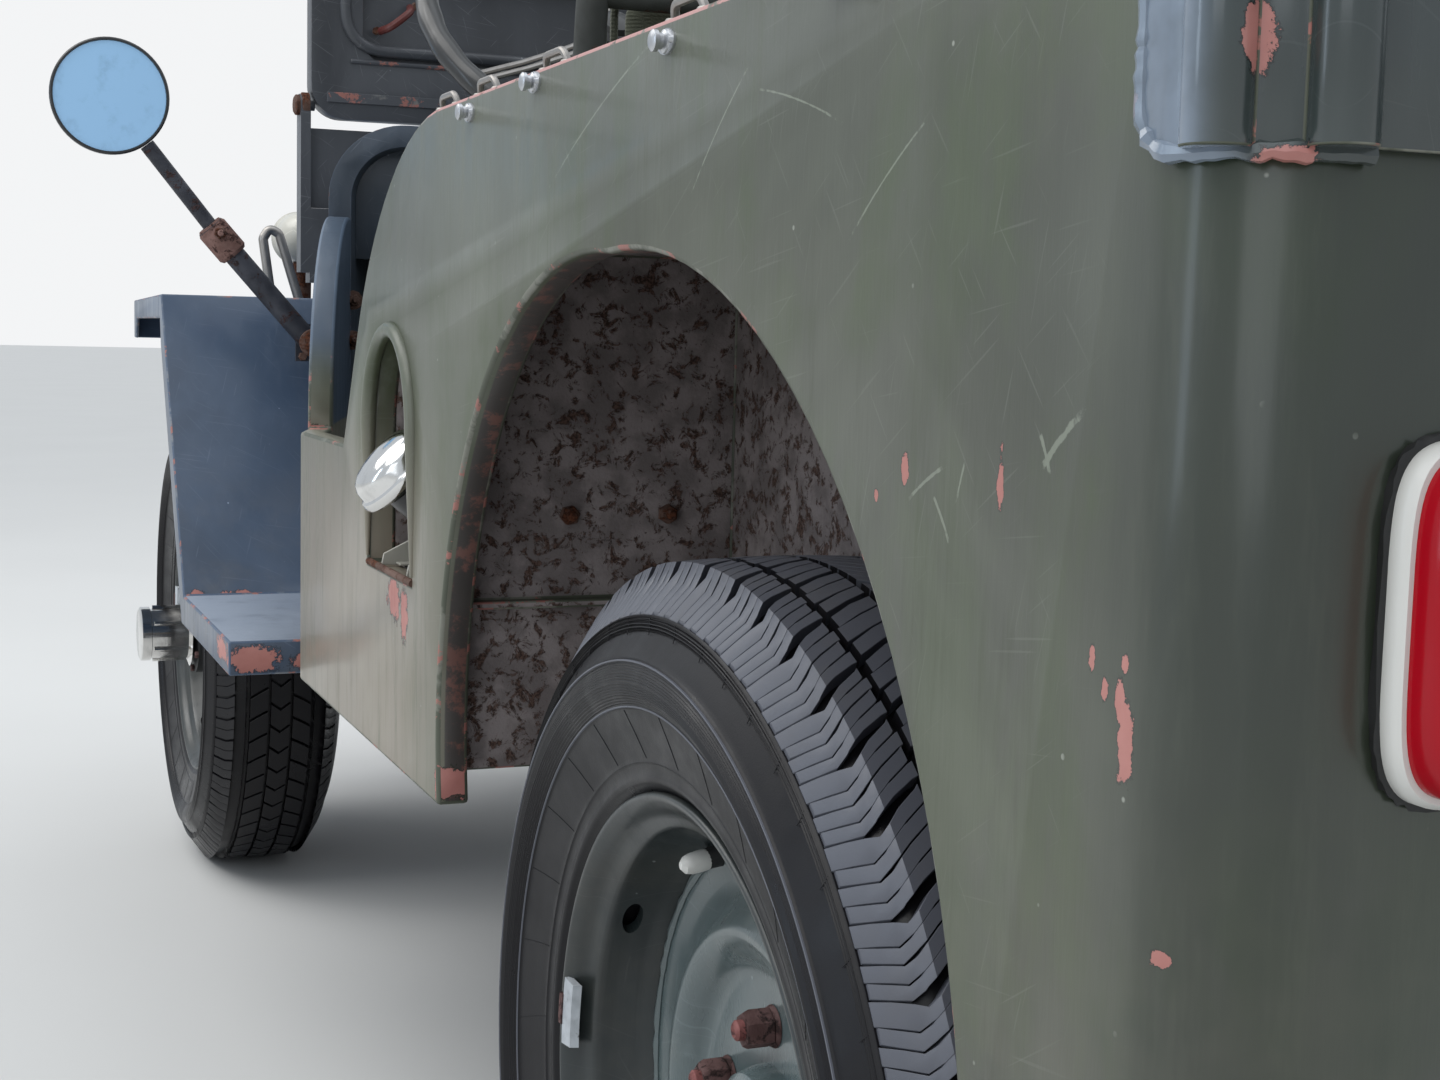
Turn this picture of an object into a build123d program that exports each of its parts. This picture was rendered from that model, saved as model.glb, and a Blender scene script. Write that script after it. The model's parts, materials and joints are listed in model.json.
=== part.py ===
"""Light open four-wheel-drive field car, left-hand drive, in millimetres.

+X is the car's left, +Y its rear and +Z up.  Every sketch is drawn on a plane
whose own origin lies on the rear axle's line, so y runs from the rear axle.
Heights are drawn with the hubs at hub_z, and the whole car rides up or down
with its tyres, so that they stand on the ground.
"""
import math
import os

from build123d import *

os.makedirs("parts", exist_ok=True)

# Running gear
wheelbase = 2032.0
half_track = 615.0
tyre_radius = 340.0
hub_z = 340.0
tyre_width = 205.0
tread_width = 158.0
rim_flange_radius = 207.0
rim_width = 150.0
bead_seat_radius = 190.0
disc_seat_x = 20.0
hub_radius = 52.0
drum_radius = 118.0
drum_depth = 52.0
kingpin_x = 505.0
ball_radius = 60.0
knuckle_wall = 11.0
knuckle_clearance = 1.0
steer_arm_length = 170.0
steer_arm_inset = 40.0
tie_rod_radius = 13.0
tie_rod_z = 372.0
axle_tube_radius = 38.0
diff_radius = 118.0
diff_x = -150.0
spring_half_length = 450.0
spring_camber = 104.0
spring_width = 44.0
spring_pack = 34.0
spring_leaf = 8.0
freewheel_hub_radius = 36.0
freewheel_hub_end_x = 152.0

# Frame
rail_x = 346.0
rail_width = 50.0
rail_height = 100.0
rail_bottom = 440.0
rail_wall = 5.0
rail_front_y = -2556.0
rail_rear_y = 470.0
bumper_front_y = -2580.0
bumper_depth = 24.0
bumper_half_width = 660.0
bumper_height = 130.0
bumper_bottom = 425.0

# Tub
tub_rear_y = 525.0
tub_half_width = 724.0
taper_start_y = -955.0
cowl_rear_y = -1250.0
cowl_front_y = -1531.0
cowl_rear_half = 640.0
cowl_front_half = 545.0
cowl_taper = (cowl_rear_half - cowl_front_half) / (cowl_rear_y - cowl_front_y)
tub_corner_radius = 45.0
wall = 24.0
side_bottom = 453.0
side_top = 961.0
sill_top = 699.0
floor_top = 590.0
floor_thickness = 12.0
arch_top = 846.0
arch_front_y = -402.0
arch_rear_y = 386.0
door_curve_radius = 330.0
door_top_rear_y = -410.0
door_slope_deg = 30.0
door_front_radius = 225.0
sill_front_y = -1022.0
wheelhouse_inner_x = 480.0
wheelhouse_top = 866.0
wheelhouse_front_y = -425.0
wheelhouse_rear_y = 432.0
sheet = 5.0
side_wrap_x = 600.0
pocket_bottom = 862.0
pocket_front_y = 478.0
pocket_inner_x = 590.0
pocket_thickness = 5.0
pocket_rib_radius = 11.0
pocket_rib_turns = (33.0, 75.0)

# Fuel filler in the left side
filler_y = -568.0
filler_width = 158.0
filler_bottom = 606.0
filler_top = 801.0
filler_depth = 66.0
filler_cap_radius = 38.0
filler_tilt_deg = 42.0

# Cowl, windshield and hood
cowl_top = 1030.0
cowl_corner_radius = 85.0
windshield_y = -1390.0
windshield_half = 636.0
windshield_depth = 28.0
windshield_bottom = 1046.0
windshield_top = 1600.0
windshield_pivot_z = 1060.0
windshield_sill_z = 1235.0
windshield_rail = 42.0
pivot_pin_radius = 6.0
hood_rear_half = 528.0
hood_front_half = 385.0
hood_rear_y = -1536.0
hood_front_y = -2474.0
hood_rear_top = 1030.0
hood_front_top = 985.0
hood_bottom = 842.5
hood_sheet = 5.0
hood_rear_radius = 85.0
hood_front_radius = 62.0
hinge_y = -1533.5
hinge_z = 1034.5
hinge_radius = 4.0
hinge_leaf = 44.0
cowl_barrel = (120.0, 199.7)
hood_barrel = (200.0, 300.0)

# Front fenders
fender_top = 837.0
fender_half_rear = 785.0
fender_half_front = 725.0
fender_front_y = -2480.0
fender_bend_y = -1580.0
fender_foot_y = -1370.0
step_top = 484.0
step_rear_y = -1014.0
step_lip = 35.0
fender_skirt = 30.0
fender_nose_drop = 62.0
fender_nose_length = 95.0
apron_x = 385.0
apron_bottom = 562.0
body_gap = 0.4

# Grille and lamps
grille_thickness = 20.0
grille_bottom = 560.0
slot_count = 9
slot_pitch = 41.0
slot_width = 23.0
slot_bottom = 640.0
slot_top = 905.0
headlamp_x = 286.0
headlamp_z = 815.0
headlamp_radius = 88.0

# Seats, controls and small fittings
seat_half = 212.0
seat_x = tub_half_width - wall - filler_depth - 32.0 - seat_half
seat_tube_radius = 12.5
cushion_bottom = 790.0
cushion_thickness = 80.0
seat_front_y = -930.0
seat_back_y = -500.0
seat_back_top = 1120.0
column_x = 360.0
column_radius = 18.0
steering_wheel_radius = 205.0
steering_wheel_y = -1095.0
steering_wheel_z = 1130.0
column_tilt_deg = 45.0
mirror_y = -1480.0
mirror_x = 854.0
mirror_z = 1065.0
mirror_radius = 68.0
tail_lamp_x = 636.0
tail_lamp_z = 722.0
spare_x = -235.0
spare_z = 800.0
spare_face_y = 752.0

spare_centre_y = spare_face_y - tyre_width / 2
rear_axle_y = -(spare_face_y + bumper_front_y) / 2
front_axle = -wheelbase
ride_z = tyre_radius - hub_z


def side_plane(x):
    """Sketch plane across the car, drawn in (y, z), that extrudes to the left."""
    return Plane(origin=(x, rear_axle_y, ride_z), x_dir=(0, 1, 0), z_dir=(1, 0, 0))


def cross_plane(y):
    """Sketch plane facing forward, drawn in (x, z), that extrudes forward."""
    return Plane(origin=(0, rear_axle_y + y, ride_z), x_dir=(1, 0, 0), z_dir=(0, -1, 0))


def plan_plane(z):
    """Level sketch plane, drawn in (x, y), that extrudes upward."""
    return Plane(origin=(0, rear_axle_y, ride_z + z), x_dir=(1, 0, 0), z_dir=(0, 0, 1))


def at(x, y, z):
    """Place of a point given from the rear axle's line."""
    return Location((x, rear_axle_y + y, ride_z + z))


def point(x, y, z):
    return Vector(x, rear_axle_y + y, ride_z + z)


def save(builder, name):
    builder.part.label = name
    export_step(builder.part, f"parts/{name}.step")


def block(x_range, y_range, z_range, mode=Mode.ADD):
    """A box between named limits, in rear-axle coordinates."""
    centre = [(low + high) / 2 for low, high in (x_range, y_range, z_range)]
    size = [high - low for low, high in (x_range, y_range, z_range)]
    with Locations(at(*centre)):
        Box(*size, mode=mode)


def tube(points, radius, radii=None):
    """A round rod along straight runs joined by tangent arcs."""
    with BuildLine(Plane.XY) as path:
        route = [point(*p) for p in points]
        if radii is None:
            Polyline(*route)
        else:
            FilletPolyline(*route, radius=radii)
    start = path.line @ 0
    direction = path.line % 0
    with BuildSketch(Plane(origin=start, z_dir=direction)) as section:
        Circle(radius)
    sweep(section.sketch, path=path.line)


def rod(start, end, radius):
    """A straight round rod between two points."""
    low = point(*start)
    high = point(*end)
    with BuildSketch(Plane(origin=low, z_dir=high - low)) as section:
        Circle(radius)
    extrude(section.sketch, amount=(high - low).length)


def mirrored(builder, name):
    """The same piece on the car's other side, as a node of its own."""
    with BuildPart() as other:
        add(mirror(builder.part, about=Plane.YZ))
    save(other, name)
    return other


# Tyres and wheels: profiles are drawn in (distance outboard, radius)

def tyre_profile():
    half = tyre_width / 2
    tread = tread_width / 2
    bead = rim_width / 2 - 9
    seat = bead_seat_radius + 3
    with BuildLine() as outline:
        Polyline((-bead, seat), (bead, seat), (bead, rim_flange_radius - 2))
        ThreePointArc((bead, rim_flange_radius - 2), (half, (tyre_radius + seat) / 2),
                      (tread, tyre_radius - 12))
        Line((tread, tyre_radius - 12), (tread - 14, tyre_radius - 2))
        ThreePointArc((tread - 14, tyre_radius - 2), (0, tyre_radius),
                      (14 - tread, tyre_radius - 2))
        Line((14 - tread, tyre_radius - 2), (-tread, tyre_radius - 12))
        ThreePointArc((-tread, tyre_radius - 12), (-half, (tyre_radius + seat) / 2),
                      (-bead, rim_flange_radius - 2))
        Line((-bead, rim_flange_radius - 2), (-bead, seat))
    make_face(outline.line.edges())


def rim_profile(hub_end):
    """Barrel, dished disc and hub of one pressed steel wheel."""
    half = rim_width / 2
    seat = bead_seat_radius
    well = seat - 26
    disc = disc_seat_x
    with BuildLine() as barrel:
        Polyline(
            (-half, rim_flange_radius), (6 - half, rim_flange_radius), (8 - half, seat + 2),
            (40 - half, seat), (52 - half, well), (half - 66, well), (half - 52, seat - 4),
            (half - 8, seat + 2), (half - 6, rim_flange_radius), (half, rim_flange_radius),
            (half, seat - 3), (half - 48, seat - 10), (half - 63, well - 6),
            (48 - half, well - 6), (36 - half, seat - 6), (-half, seat - 3),
            (-half, rim_flange_radius),
        )
    make_face(barrel.line.edges())
    with BuildLine() as dish:
        Polyline(
            (disc - 20, well - 5), (disc - 24, 142), (disc - 8, 120), (disc + 6, 110),
            (disc + 7, 100), (disc, 86), (disc, 0), (disc - 8, 0), (disc - 8, 90),
            (disc - 1, 101), (disc - 2, 106), (disc - 14, 114), (disc - 32, 138),
            (disc - 30, well - 5), (disc - 20, well - 5),
        )
    make_face(dish.line.edges())
    with BuildLine() as hub:
        Polyline((disc - 34, 0), (disc - 34, hub_radius), (disc + 1, hub_radius),
                 (hub_end, hub_radius - 8), (hub_end, 0), (disc - 34, 0))
    make_face(hub.line.edges())


def wheel_plane(x, y, z, outward):
    """Plane through a wheel's axis, drawn in (outboard, radius)."""
    normal = (0, -1, 0) if outward > 0 else (0, 1, 0)
    return Plane(origin=point(x, y, z), x_dir=(outward, 0, 0), z_dir=normal)


def make_tyre(name, x, y, z, outward):
    plane = wheel_plane(x, y, z, outward)
    with BuildPart() as tyre:
        with BuildSketch(plane):
            tyre_profile()
        revolve(axis=Axis(plane.origin, plane.x_dir))
    save(tyre, name)


def make_rim(name, x, y, z, outward, front):
    plane = wheel_plane(x, y, z, outward)
    axis_out = plane.x_dir
    drum_in = disc_seat_x - 34 - drum_depth
    with BuildPart() as rim:
        with BuildSketch(plane):
            rim_profile(disc_seat_x + 22)
        revolve(axis=Axis(plane.origin, axis_out))
        with BuildSketch(Plane(origin=plane.origin + axis_out * drum_in, z_dir=axis_out)):
            Circle(drum_radius)
            Circle(drum_radius - 10, mode=Mode.SUBTRACT)
        extrude(amount=drum_depth)
        with BuildSketch(Plane(origin=plane.origin + axis_out * (disc_seat_x - 34), z_dir=axis_out)):
            Circle(drum_radius)
            Circle(hub_radius, mode=Mode.SUBTRACT)
        extrude(amount=8)
        with BuildSketch(Plane(origin=plane.origin + axis_out * (disc_seat_x - 40), z_dir=axis_out)):
            with PolarLocations(137, 4, start_angle=20):
                SlotOverall(44, 24, rotation=90)
        extrude(amount=60, mode=Mode.SUBTRACT)
        if front:
            with BuildSketch(Plane(origin=plane.origin + axis_out * (disc_seat_x + 20), z_dir=axis_out)):
                Circle(freewheel_hub_radius)
            extrude(amount=freewheel_hub_end_x - disc_seat_x - 20)
            outer = rim.part.faces().sort_by(Axis(plane.origin, axis_out))[-1]
            chamfer(outer.edges(), 4)
    save(rim, name)


wheel_places = {
    "front_left": (half_track, front_axle, 1, True),
    "front_right": (-half_track, front_axle, -1, True),
    "rear_left": (half_track, 0.0, 1, False),
    "rear_right": (-half_track, 0.0, -1, False),
}
for place, (x, y, outward, front) in wheel_places.items():
    make_tyre(f"tyre_{place}", x, y, hub_z, outward)
    make_rim(f"wheel_{place}", x, y, hub_z, outward, front)

# Spare wheel on the rear panel, its dished face to the rear
spare_plane = Plane(origin=point(spare_x, spare_centre_y, spare_z), x_dir=(0, 1, 0), z_dir=(1, 0, 0))
with BuildPart() as spare_tyre:
    with BuildSketch(spare_plane):
        tyre_profile()
    revolve(axis=Axis(spare_plane.origin, spare_plane.x_dir))
save(spare_tyre, "spare_tyre")

with BuildPart() as spare_wheel:
    with BuildSketch(spare_plane):
        rim_profile(disc_seat_x + 6)
    revolve(axis=Axis(spare_plane.origin, spare_plane.x_dir))
    with BuildSketch(Plane(origin=point(spare_x, tub_rear_y, spare_z), z_dir=(0, 1, 0))):
        Circle(hub_radius)
    extrude(amount=spare_centre_y - tub_rear_y + disc_seat_x - 20)
save(spare_wheel, "spare_wheel")

# Frame rails, crossmembers and bumper

with BuildPart() as frame_rails:
    outer_x = rail_x + rail_width / 2
    for side in (-1, 1):
        start = outer_x - rail_width if side > 0 else -outer_x
        rail_top = rail_bottom + rail_height
        with BuildSketch(side_plane(start)):
            with BuildLine():
                Polyline(
                    (rail_front_y, rail_bottom + 34), (rail_front_y, rail_top),
                    (rail_rear_y, rail_top), (rail_rear_y, rail_bottom),
                    (front_axle - 200, rail_bottom), (rail_front_y, rail_bottom + 34),
                )
            make_face()
        extrude(amount=rail_width)
        inner = outer_x - rail_width if side > 0 else -outer_x + rail_wall
        with BuildSketch(side_plane(inner)):
            with BuildLine():
                Polyline(
                    (rail_front_y + 30, rail_bottom + 34 + rail_wall),
                    (rail_front_y + 30, rail_top - rail_wall),
                    (rail_rear_y - 10, rail_top - rail_wall),
                    (rail_rear_y - 10, rail_bottom + rail_wall),
                    (front_axle - 200, rail_bottom + rail_wall),
                    (rail_front_y + 30, rail_bottom + 34 + rail_wall),
                )
            make_face()
        extrude(amount=rail_width - rail_wall, mode=Mode.SUBTRACT)
save(frame_rails, "frame_rails")

rail_top = rail_bottom + rail_height
rail_inner = rail_x - rail_width / 2
crossmembers = (
    # name, front y, rear y, bottom z, top z, half length
    ("front", -2466.0, -2376.0, 462.0, rail_top, rail_inner),
    ("gearbox", -1330.0, -1280.0, 415.0, rail_bottom, rail_x),
    ("middle", -730.0, -670.0, 462.0, rail_top - rail_wall - 0.2, rail_inner + 30),
    ("rear", 400.0, rail_rear_y, rail_bottom, rail_top, rail_inner),
)
with BuildPart() as frame_crossmembers:
    for name, low_y, high_y, low_z, high_z, half in crossmembers:
        block((-half, half), (low_y, high_y), (low_z, high_z))
save(frame_crossmembers, "frame_crossmembers")

mount_ys = (-1330.0, -860.0, -300.0, 300.0)
with BuildPart() as body_mounts:
    for y in mount_ys:
        for side in (-1, 1):
            block((side * rail_x - 22, side * rail_x + 22), (y - 30, y + 30),
                  (rail_top, floor_top - floor_thickness))
save(body_mounts, "body_mounts")

with BuildPart() as front_bumper:
    with BuildSketch(side_plane(-bumper_half_width)):
        with BuildLine():
            low = bumper_bottom
            high = bumper_bottom + bumper_height
            back = bumper_front_y + bumper_depth
            Polyline((bumper_front_y, low), (bumper_front_y, high), (back, high),
                     (back, high - 6), (bumper_front_y + 6, high - 6),
                     (bumper_front_y + 6, low + 6), (back, low + 6), (back, low),
                     (bumper_front_y, low))
        make_face()
    extrude(amount=2 * bumper_half_width)
    for side in (-1, 1):
        block((side * rail_x - 25, side * rail_x + 25), (bumper_front_y + 6, rail_front_y),
              (rail_bottom + 34, rail_top))
save(front_bumper, "front_bumper")


def spring_pair(axle_y):
    """Two leaf packs with their hangers and shackles under the rails."""
    top = hub_z - axle_tube_radius - 1.5
    with BuildPart() as springs:
        for side in (-1, 1):
            start = side * rail_x - spring_width / 2
            with BuildSketch(side_plane(start)):
                with BuildLine():
                    ends = top + spring_camber
                    far = spring_half_length
                    ThreePointArc((axle_y - far, ends), (axle_y, top), (axle_y + far, ends))
                    Line((axle_y + far, ends), (axle_y + far, ends - spring_leaf))
                    ThreePointArc((axle_y + far, ends - spring_leaf),
                                  (axle_y, top - spring_pack),
                                  (axle_y - far, ends - spring_leaf))
                    Line((axle_y - far, ends - spring_leaf), (axle_y - far, ends))
                make_face()
                with Locations((axle_y - far, ends - 4), (axle_y + far, ends - 4)):
                    Circle(17)
            extrude(amount=spring_width)
            for end in (-1, 1):
                y = axle_y + end * far
                block((start, start + spring_width), (y - 15, y + 15), (ends, rail_bottom))
            block((start - 8, start + spring_width + 8), (axle_y - 62, axle_y + 62),
                  (top - spring_pack - 10, top - spring_pack + 2))
    return springs


save(spring_pair(front_axle), "front_springs")
save(spring_pair(0.0), "rear_springs")


def axle_profile(tube_half, ball_x):
    """Half section of an axle: tube, offset banjo and, in front, the steering balls."""
    wide = 62.0
    throat = 92.0
    with BuildLine() as outline:
        if ball_x:
            far = ball_x + ball_radius
            near = ball_x - math.sqrt(ball_radius ** 2 - axle_tube_radius ** 2)
            ThreePointArc((-far, 0), (-ball_x, ball_radius), (-near, axle_tube_radius))
            Line((-near, axle_tube_radius), (diff_x - 150, axle_tube_radius))
        else:
            Polyline((-tube_half, 0), (-tube_half, axle_tube_radius),
                     (diff_x - 150, axle_tube_radius))
        Line((diff_x - 150, axle_tube_radius), (diff_x - wide, throat))
        ThreePointArc((diff_x - wide, throat), (diff_x, diff_radius), (diff_x + wide, throat))
        Line((diff_x + wide, throat), (diff_x + 150, axle_tube_radius))
        if ball_x:
            Line((diff_x + 150, axle_tube_radius), (near, axle_tube_radius))
            ThreePointArc((near, axle_tube_radius), (ball_x, ball_radius), (far, 0))
            Line((far, 0), (-far, 0))
        else:
            Polyline((diff_x + 150, axle_tube_radius), (tube_half, axle_tube_radius),
                     (tube_half, 0), (-tube_half, 0))
    make_face(outline.line.edges())


def axle_housing(axle_y, tube_half, pinion_y, ball_x):
    """Revolved housing with its pinion nose and spring pads."""
    with BuildPart() as housing:
        plane = wheel_plane(0, axle_y, hub_z, 1)
        with BuildSketch(plane):
            axle_profile(tube_half, ball_x)
        revolve(axis=Axis(plane.origin, plane.x_dir))
        rod((diff_x, axle_y, hub_z), (diff_x, pinion_y, hub_z), 46)
        for side in (-1, 1):
            block((side * rail_x - 22, side * rail_x + 22), (axle_y - 40, axle_y + 40),
                  (hub_z - axle_tube_radius - 0.7, hub_z - 12))
    return housing


pinion_reach = 165.0
backing_x = half_track + disc_seat_x - 34 - drum_depth
spindle_end = half_track + disc_seat_x - 34 - 0.4
rear_housing = axle_housing(0.0, backing_x - 8, -pinion_reach, 0.0)
with BuildPart() as rear_axle:
    add(rear_housing.part)
    for side in (-1, 1):
        rod((side * (backing_x - 9), 0, hub_z), (side * (backing_x - 1), 0, hub_z),
            drum_radius)
        rod((side * (backing_x - 6), 0, hub_z), (side * spindle_end, 0, hub_z), 30)
save(rear_axle, "rear_axle")
save(axle_housing(front_axle, kingpin_x, front_axle + pinion_reach, kingpin_x), "front_axle")


def knuckle_profile():
    """Half section of the ball housing with its backing plate, in (outboard, radius)."""
    inside = ball_radius + knuckle_clearance
    outside = inside + knuckle_wall
    mouth = -20.0
    plate = backing_x - kingpin_x - 1

    def on_ball(x, radius):
        return (x, math.sqrt(radius ** 2 - x ** 2))

    with BuildLine() as outline:
        ThreePointArc(on_ball(mouth, inside), on_ball(inside * math.sqrt(0.5), inside),
                      (inside, 0))
        Line((inside, 0), (outside, 0))
        ThreePointArc((outside, 0), on_ball(outside * 0.9, outside), on_ball(plate, outside))
        Polyline(on_ball(plate, outside), (plate, drum_radius), (plate - 8, drum_radius),
                 on_ball(plate - 8, outside))
        ThreePointArc(on_ball(plate - 8, outside), (0, outside), on_ball(mouth, outside))
        Line(on_ball(mouth, outside), on_ball(mouth, inside))
    make_face(outline.line.edges())


def knuckle(side):
    """Closed ball housing, kingpin caps, backing plate and forward steering arm."""
    shell = ball_radius + knuckle_clearance + knuckle_wall
    arm_x = kingpin_x - steer_arm_inset
    arm_y = front_axle - steer_arm_length
    plane = wheel_plane(side * kingpin_x, front_axle, hub_z, side)
    with BuildPart() as piece:
        with BuildSketch(plane):
            knuckle_profile()
        revolve(axis=Axis(plane.origin, plane.x_dir))
        rod((side * (kingpin_x + shell - 4), front_axle, hub_z),
            (side * spindle_end, front_axle, hub_z), 30)
        for end in (-1, 1):
            rod((side * kingpin_x, front_axle, hub_z + end * (shell - 7)),
                (side * kingpin_x, front_axle, hub_z + end * (shell + 14)), 19)
        with BuildSketch(plan_plane(tie_rod_z - 30)):
            with BuildLine():
                Polyline((side * (kingpin_x + 18), front_axle - shell + 8),
                         (side * (arm_x + 16), arm_y - 14), (side * (arm_x - 16), arm_y - 14),
                         (side * (kingpin_x - 12), front_axle - shell + 8),
                         (side * (kingpin_x + 18), front_axle - shell + 8))
            make_face()
        extrude(amount=15)
    return piece


save(knuckle(1), "knuckle_left")
save(knuckle(-1), "knuckle_right")

with BuildPart() as tie_rod:
    rod_y = front_axle - steer_arm_length
    rod_half = kingpin_x - steer_arm_inset
    rod((-rod_half - 10, rod_y, tie_rod_z + 4), (rod_half + 10, rod_y, tie_rod_z + 4),
        tie_rod_radius)
    for side in (-1, 1):
        rod((side * rod_half, rod_y, tie_rod_z - 14.6), (side * rod_half, rod_y, tie_rod_z + 4), 10)
save(tie_rod, "tie_rod")

# Engine, gearbox and transfer case as one plain mass, with the shafts and exhaust

transfer_rear_y = -950.0
transfer_front_y = -1168.0
with BuildPart() as engine_block:
    block((-150, 150), (-2330, -1640), (rail_bottom + 60, 930))
    block((-rail_inner, rail_inner), (-2290, -2250), (rail_bottom + 40, rail_bottom + 84))
    block((-105, 105), (-1640, -1120), (rail_bottom, 572))
    block((-232, 60), (transfer_front_y, transfer_rear_y), (345, 560))
    with BuildSketch(cross_plane(-2330)):
        with Locations((0, 700)):
            Circle(175)
    extrude(amount=12)
save(engine_block, "engine_block")

shaft_z = 395.0
with BuildPart() as propshafts:
    for end_y, start_y in ((-pinion_reach, transfer_rear_y),
                           (front_axle + pinion_reach, transfer_front_y)):
        step = 46 if start_y < end_y else -46
        rod((diff_x, start_y, shaft_z), (diff_x, start_y + step, shaft_z), 34)
        rod((diff_x, end_y, hub_z), (diff_x, end_y - step, hub_z), 34)
        rod((diff_x, start_y + step / 2, shaft_z), (diff_x, end_y - step / 2, hub_z), 25)
save(propshafts, "propshafts")

muffler_x = -480.0
muffler_z = 490.0
with BuildPart() as exhaust:
    tube([(-150, -1850, 560), (-215, -1850, 560), (-255, -1780, 405), (-255, -1560, 402),
          (muffler_x, -1330, 404), (muffler_x, -1190, muffler_z), (muffler_x, -1090, muffler_z)],
         20, 32)
    rod((muffler_x, -1100, muffler_z), (muffler_x, -640, muffler_z), 62)
    tube([(muffler_x, -650, muffler_z), (muffler_x, -560, muffler_z), (muffler_x, -500, 424),
          (19 - tub_half_width, -470, 420)], 18, 26)
    block((muffler_x - 12, muffler_x + 12), (-900, -870), (muffler_z + 50, floor_top - floor_thickness))
save(exhaust, "exhaust")

# Tub


def tub_outline():
    """Plan outline of the tub over its panels, run on past the cowl's front edge."""
    half = tub_half_width
    nose_y = cowl_front_y - 100
    nose_half = cowl_front_half - 100 * cowl_taper
    with BuildLine() as outline:
        Polyline((-half, tub_rear_y), (half, tub_rear_y), (half, taper_start_y),
                 (cowl_rear_half, cowl_rear_y), (nose_half, nose_y),
                 (-nose_half, nose_y), (-cowl_rear_half, cowl_rear_y),
                 (-half, taper_start_y), (-half, tub_rear_y))
    make_face(outline.line.edges())


def tub_sketch(inset):
    """The outline with round rear corners, moved in by a thickness."""
    with BuildSketch() as outline:
        tub_outline()
        fillet(outline.vertices().group_by(Axis.Y)[-1], tub_corner_radius)
        if inset:
            offset(amount=-inset, kind=Kind.INTERSECTION)
        with Locations((0, (cowl_front_y + 600) / 2)):
            Rectangle(2000, 600 - cowl_front_y, mode=Mode.INTERSECT)
    return outline.sketch


outer_plan = tub_sketch(0.0)
inner_plan = tub_sketch(wall)


def side_profile():
    """Side elevation of the body side, drawn in (y, z)."""
    slope = math.radians(door_slope_deg)
    centre_z = side_top - door_curve_radius
    tangent_y = door_top_rear_y - door_curve_radius * math.cos(slope)
    tangent_z = centre_z + door_curve_radius * math.sin(slope)
    half_angle = math.radians((90 + door_slope_deg) / 2)
    middle = (door_top_rear_y - door_curve_radius * math.cos(half_angle),
              centre_z + door_curve_radius * math.sin(half_angle))
    foot_y = tangent_y - (tangent_z - sill_top) * math.tan(slope)
    sweep_y = sill_front_y - door_front_radius
    rear = tub_rear_y + wall
    with BuildLine() as outline:
        Line((rear, side_top), (door_top_rear_y, side_top))
        ThreePointArc((door_top_rear_y, side_top), middle, (tangent_y, tangent_z))
        Line((tangent_y, tangent_z), (foot_y, sill_top))
        Line((foot_y, sill_top), (sill_front_y, sill_top))
        RadiusArc((sill_front_y, sill_top), (sweep_y, sill_top + door_front_radius),
                  -door_front_radius)
        Polyline((sweep_y, sill_top + door_front_radius),
                 (cowl_rear_y, sill_top + door_front_radius), (cowl_rear_y, side_bottom),
                 (arch_front_y, side_bottom))
        ThreePointArc((arch_front_y, side_bottom), (-298, 758), (-40, arch_top))
        ThreePointArc((-40, arch_top), (258, 742), (arch_rear_y, side_bottom))
        Polyline((arch_rear_y, side_bottom), (rear, side_bottom), (rear, side_top))
    make_face(outline.line.edges())


def body_side(with_filler):
    """Left body side, from the cowl round the rear corner."""
    with BuildPart() as piece:
        with BuildSketch(plan_plane(side_bottom)):
            add(outer_plan)
            add(inner_plan, mode=Mode.SUBTRACT)
            with Locations((side_wrap_x / 2 + tub_half_width / 2, -360)):
                Rectangle(tub_half_width - side_wrap_x + 260, 1780, mode=Mode.INTERSECT)
        extrude(amount=side_top - side_bottom)
        with BuildSketch(side_plane(0)):
            side_profile()
        extrude(amount=tub_half_width + wall, mode=Mode.INTERSECT)
        block((0, side_wrap_x), (tub_rear_y - wall - 60, tub_rear_y + 5),
              (side_bottom - 5, side_top + 5), mode=Mode.SUBTRACT)
        if with_filler:
            half = filler_width / 2
            with BuildSketch(side_plane(tub_half_width - wall - 5)):
                with Locations((filler_y, (filler_bottom + filler_top) / 2)):
                    SlotOverall(filler_top - filler_bottom, filler_width, rotation=90)
                with Locations((filler_y, filler_bottom + half / 2)):
                    Rectangle(filler_width, half)
            extrude(amount=wall + 10, mode=Mode.SUBTRACT)
    return piece


side_left = body_side(True)
save(side_left, "side_left")
side_right_source = body_side(False)
mirrored(side_right_source, "side_right")

with BuildPart() as rear_panel:
    block((-side_wrap_x, side_wrap_x), (tub_rear_y - wall, tub_rear_y), (side_bottom, side_top - 60))
    with BuildSketch(cross_plane(tub_rear_y)):
        with BuildLine():
            Polyline((-side_wrap_x, side_top - 60), (side_wrap_x, side_top - 60),
                     (side_wrap_x, side_top), (side_wrap_x - 60, side_top),
                     (side_wrap_x - 105, side_top - 45), (105 - side_wrap_x, side_top - 45),
                     (60 - side_wrap_x, side_top), (-side_wrap_x, side_top),
                     (-side_wrap_x, side_top - 60))
        make_face()
    extrude(amount=wall)
save(rear_panel, "rear_panel")

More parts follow.
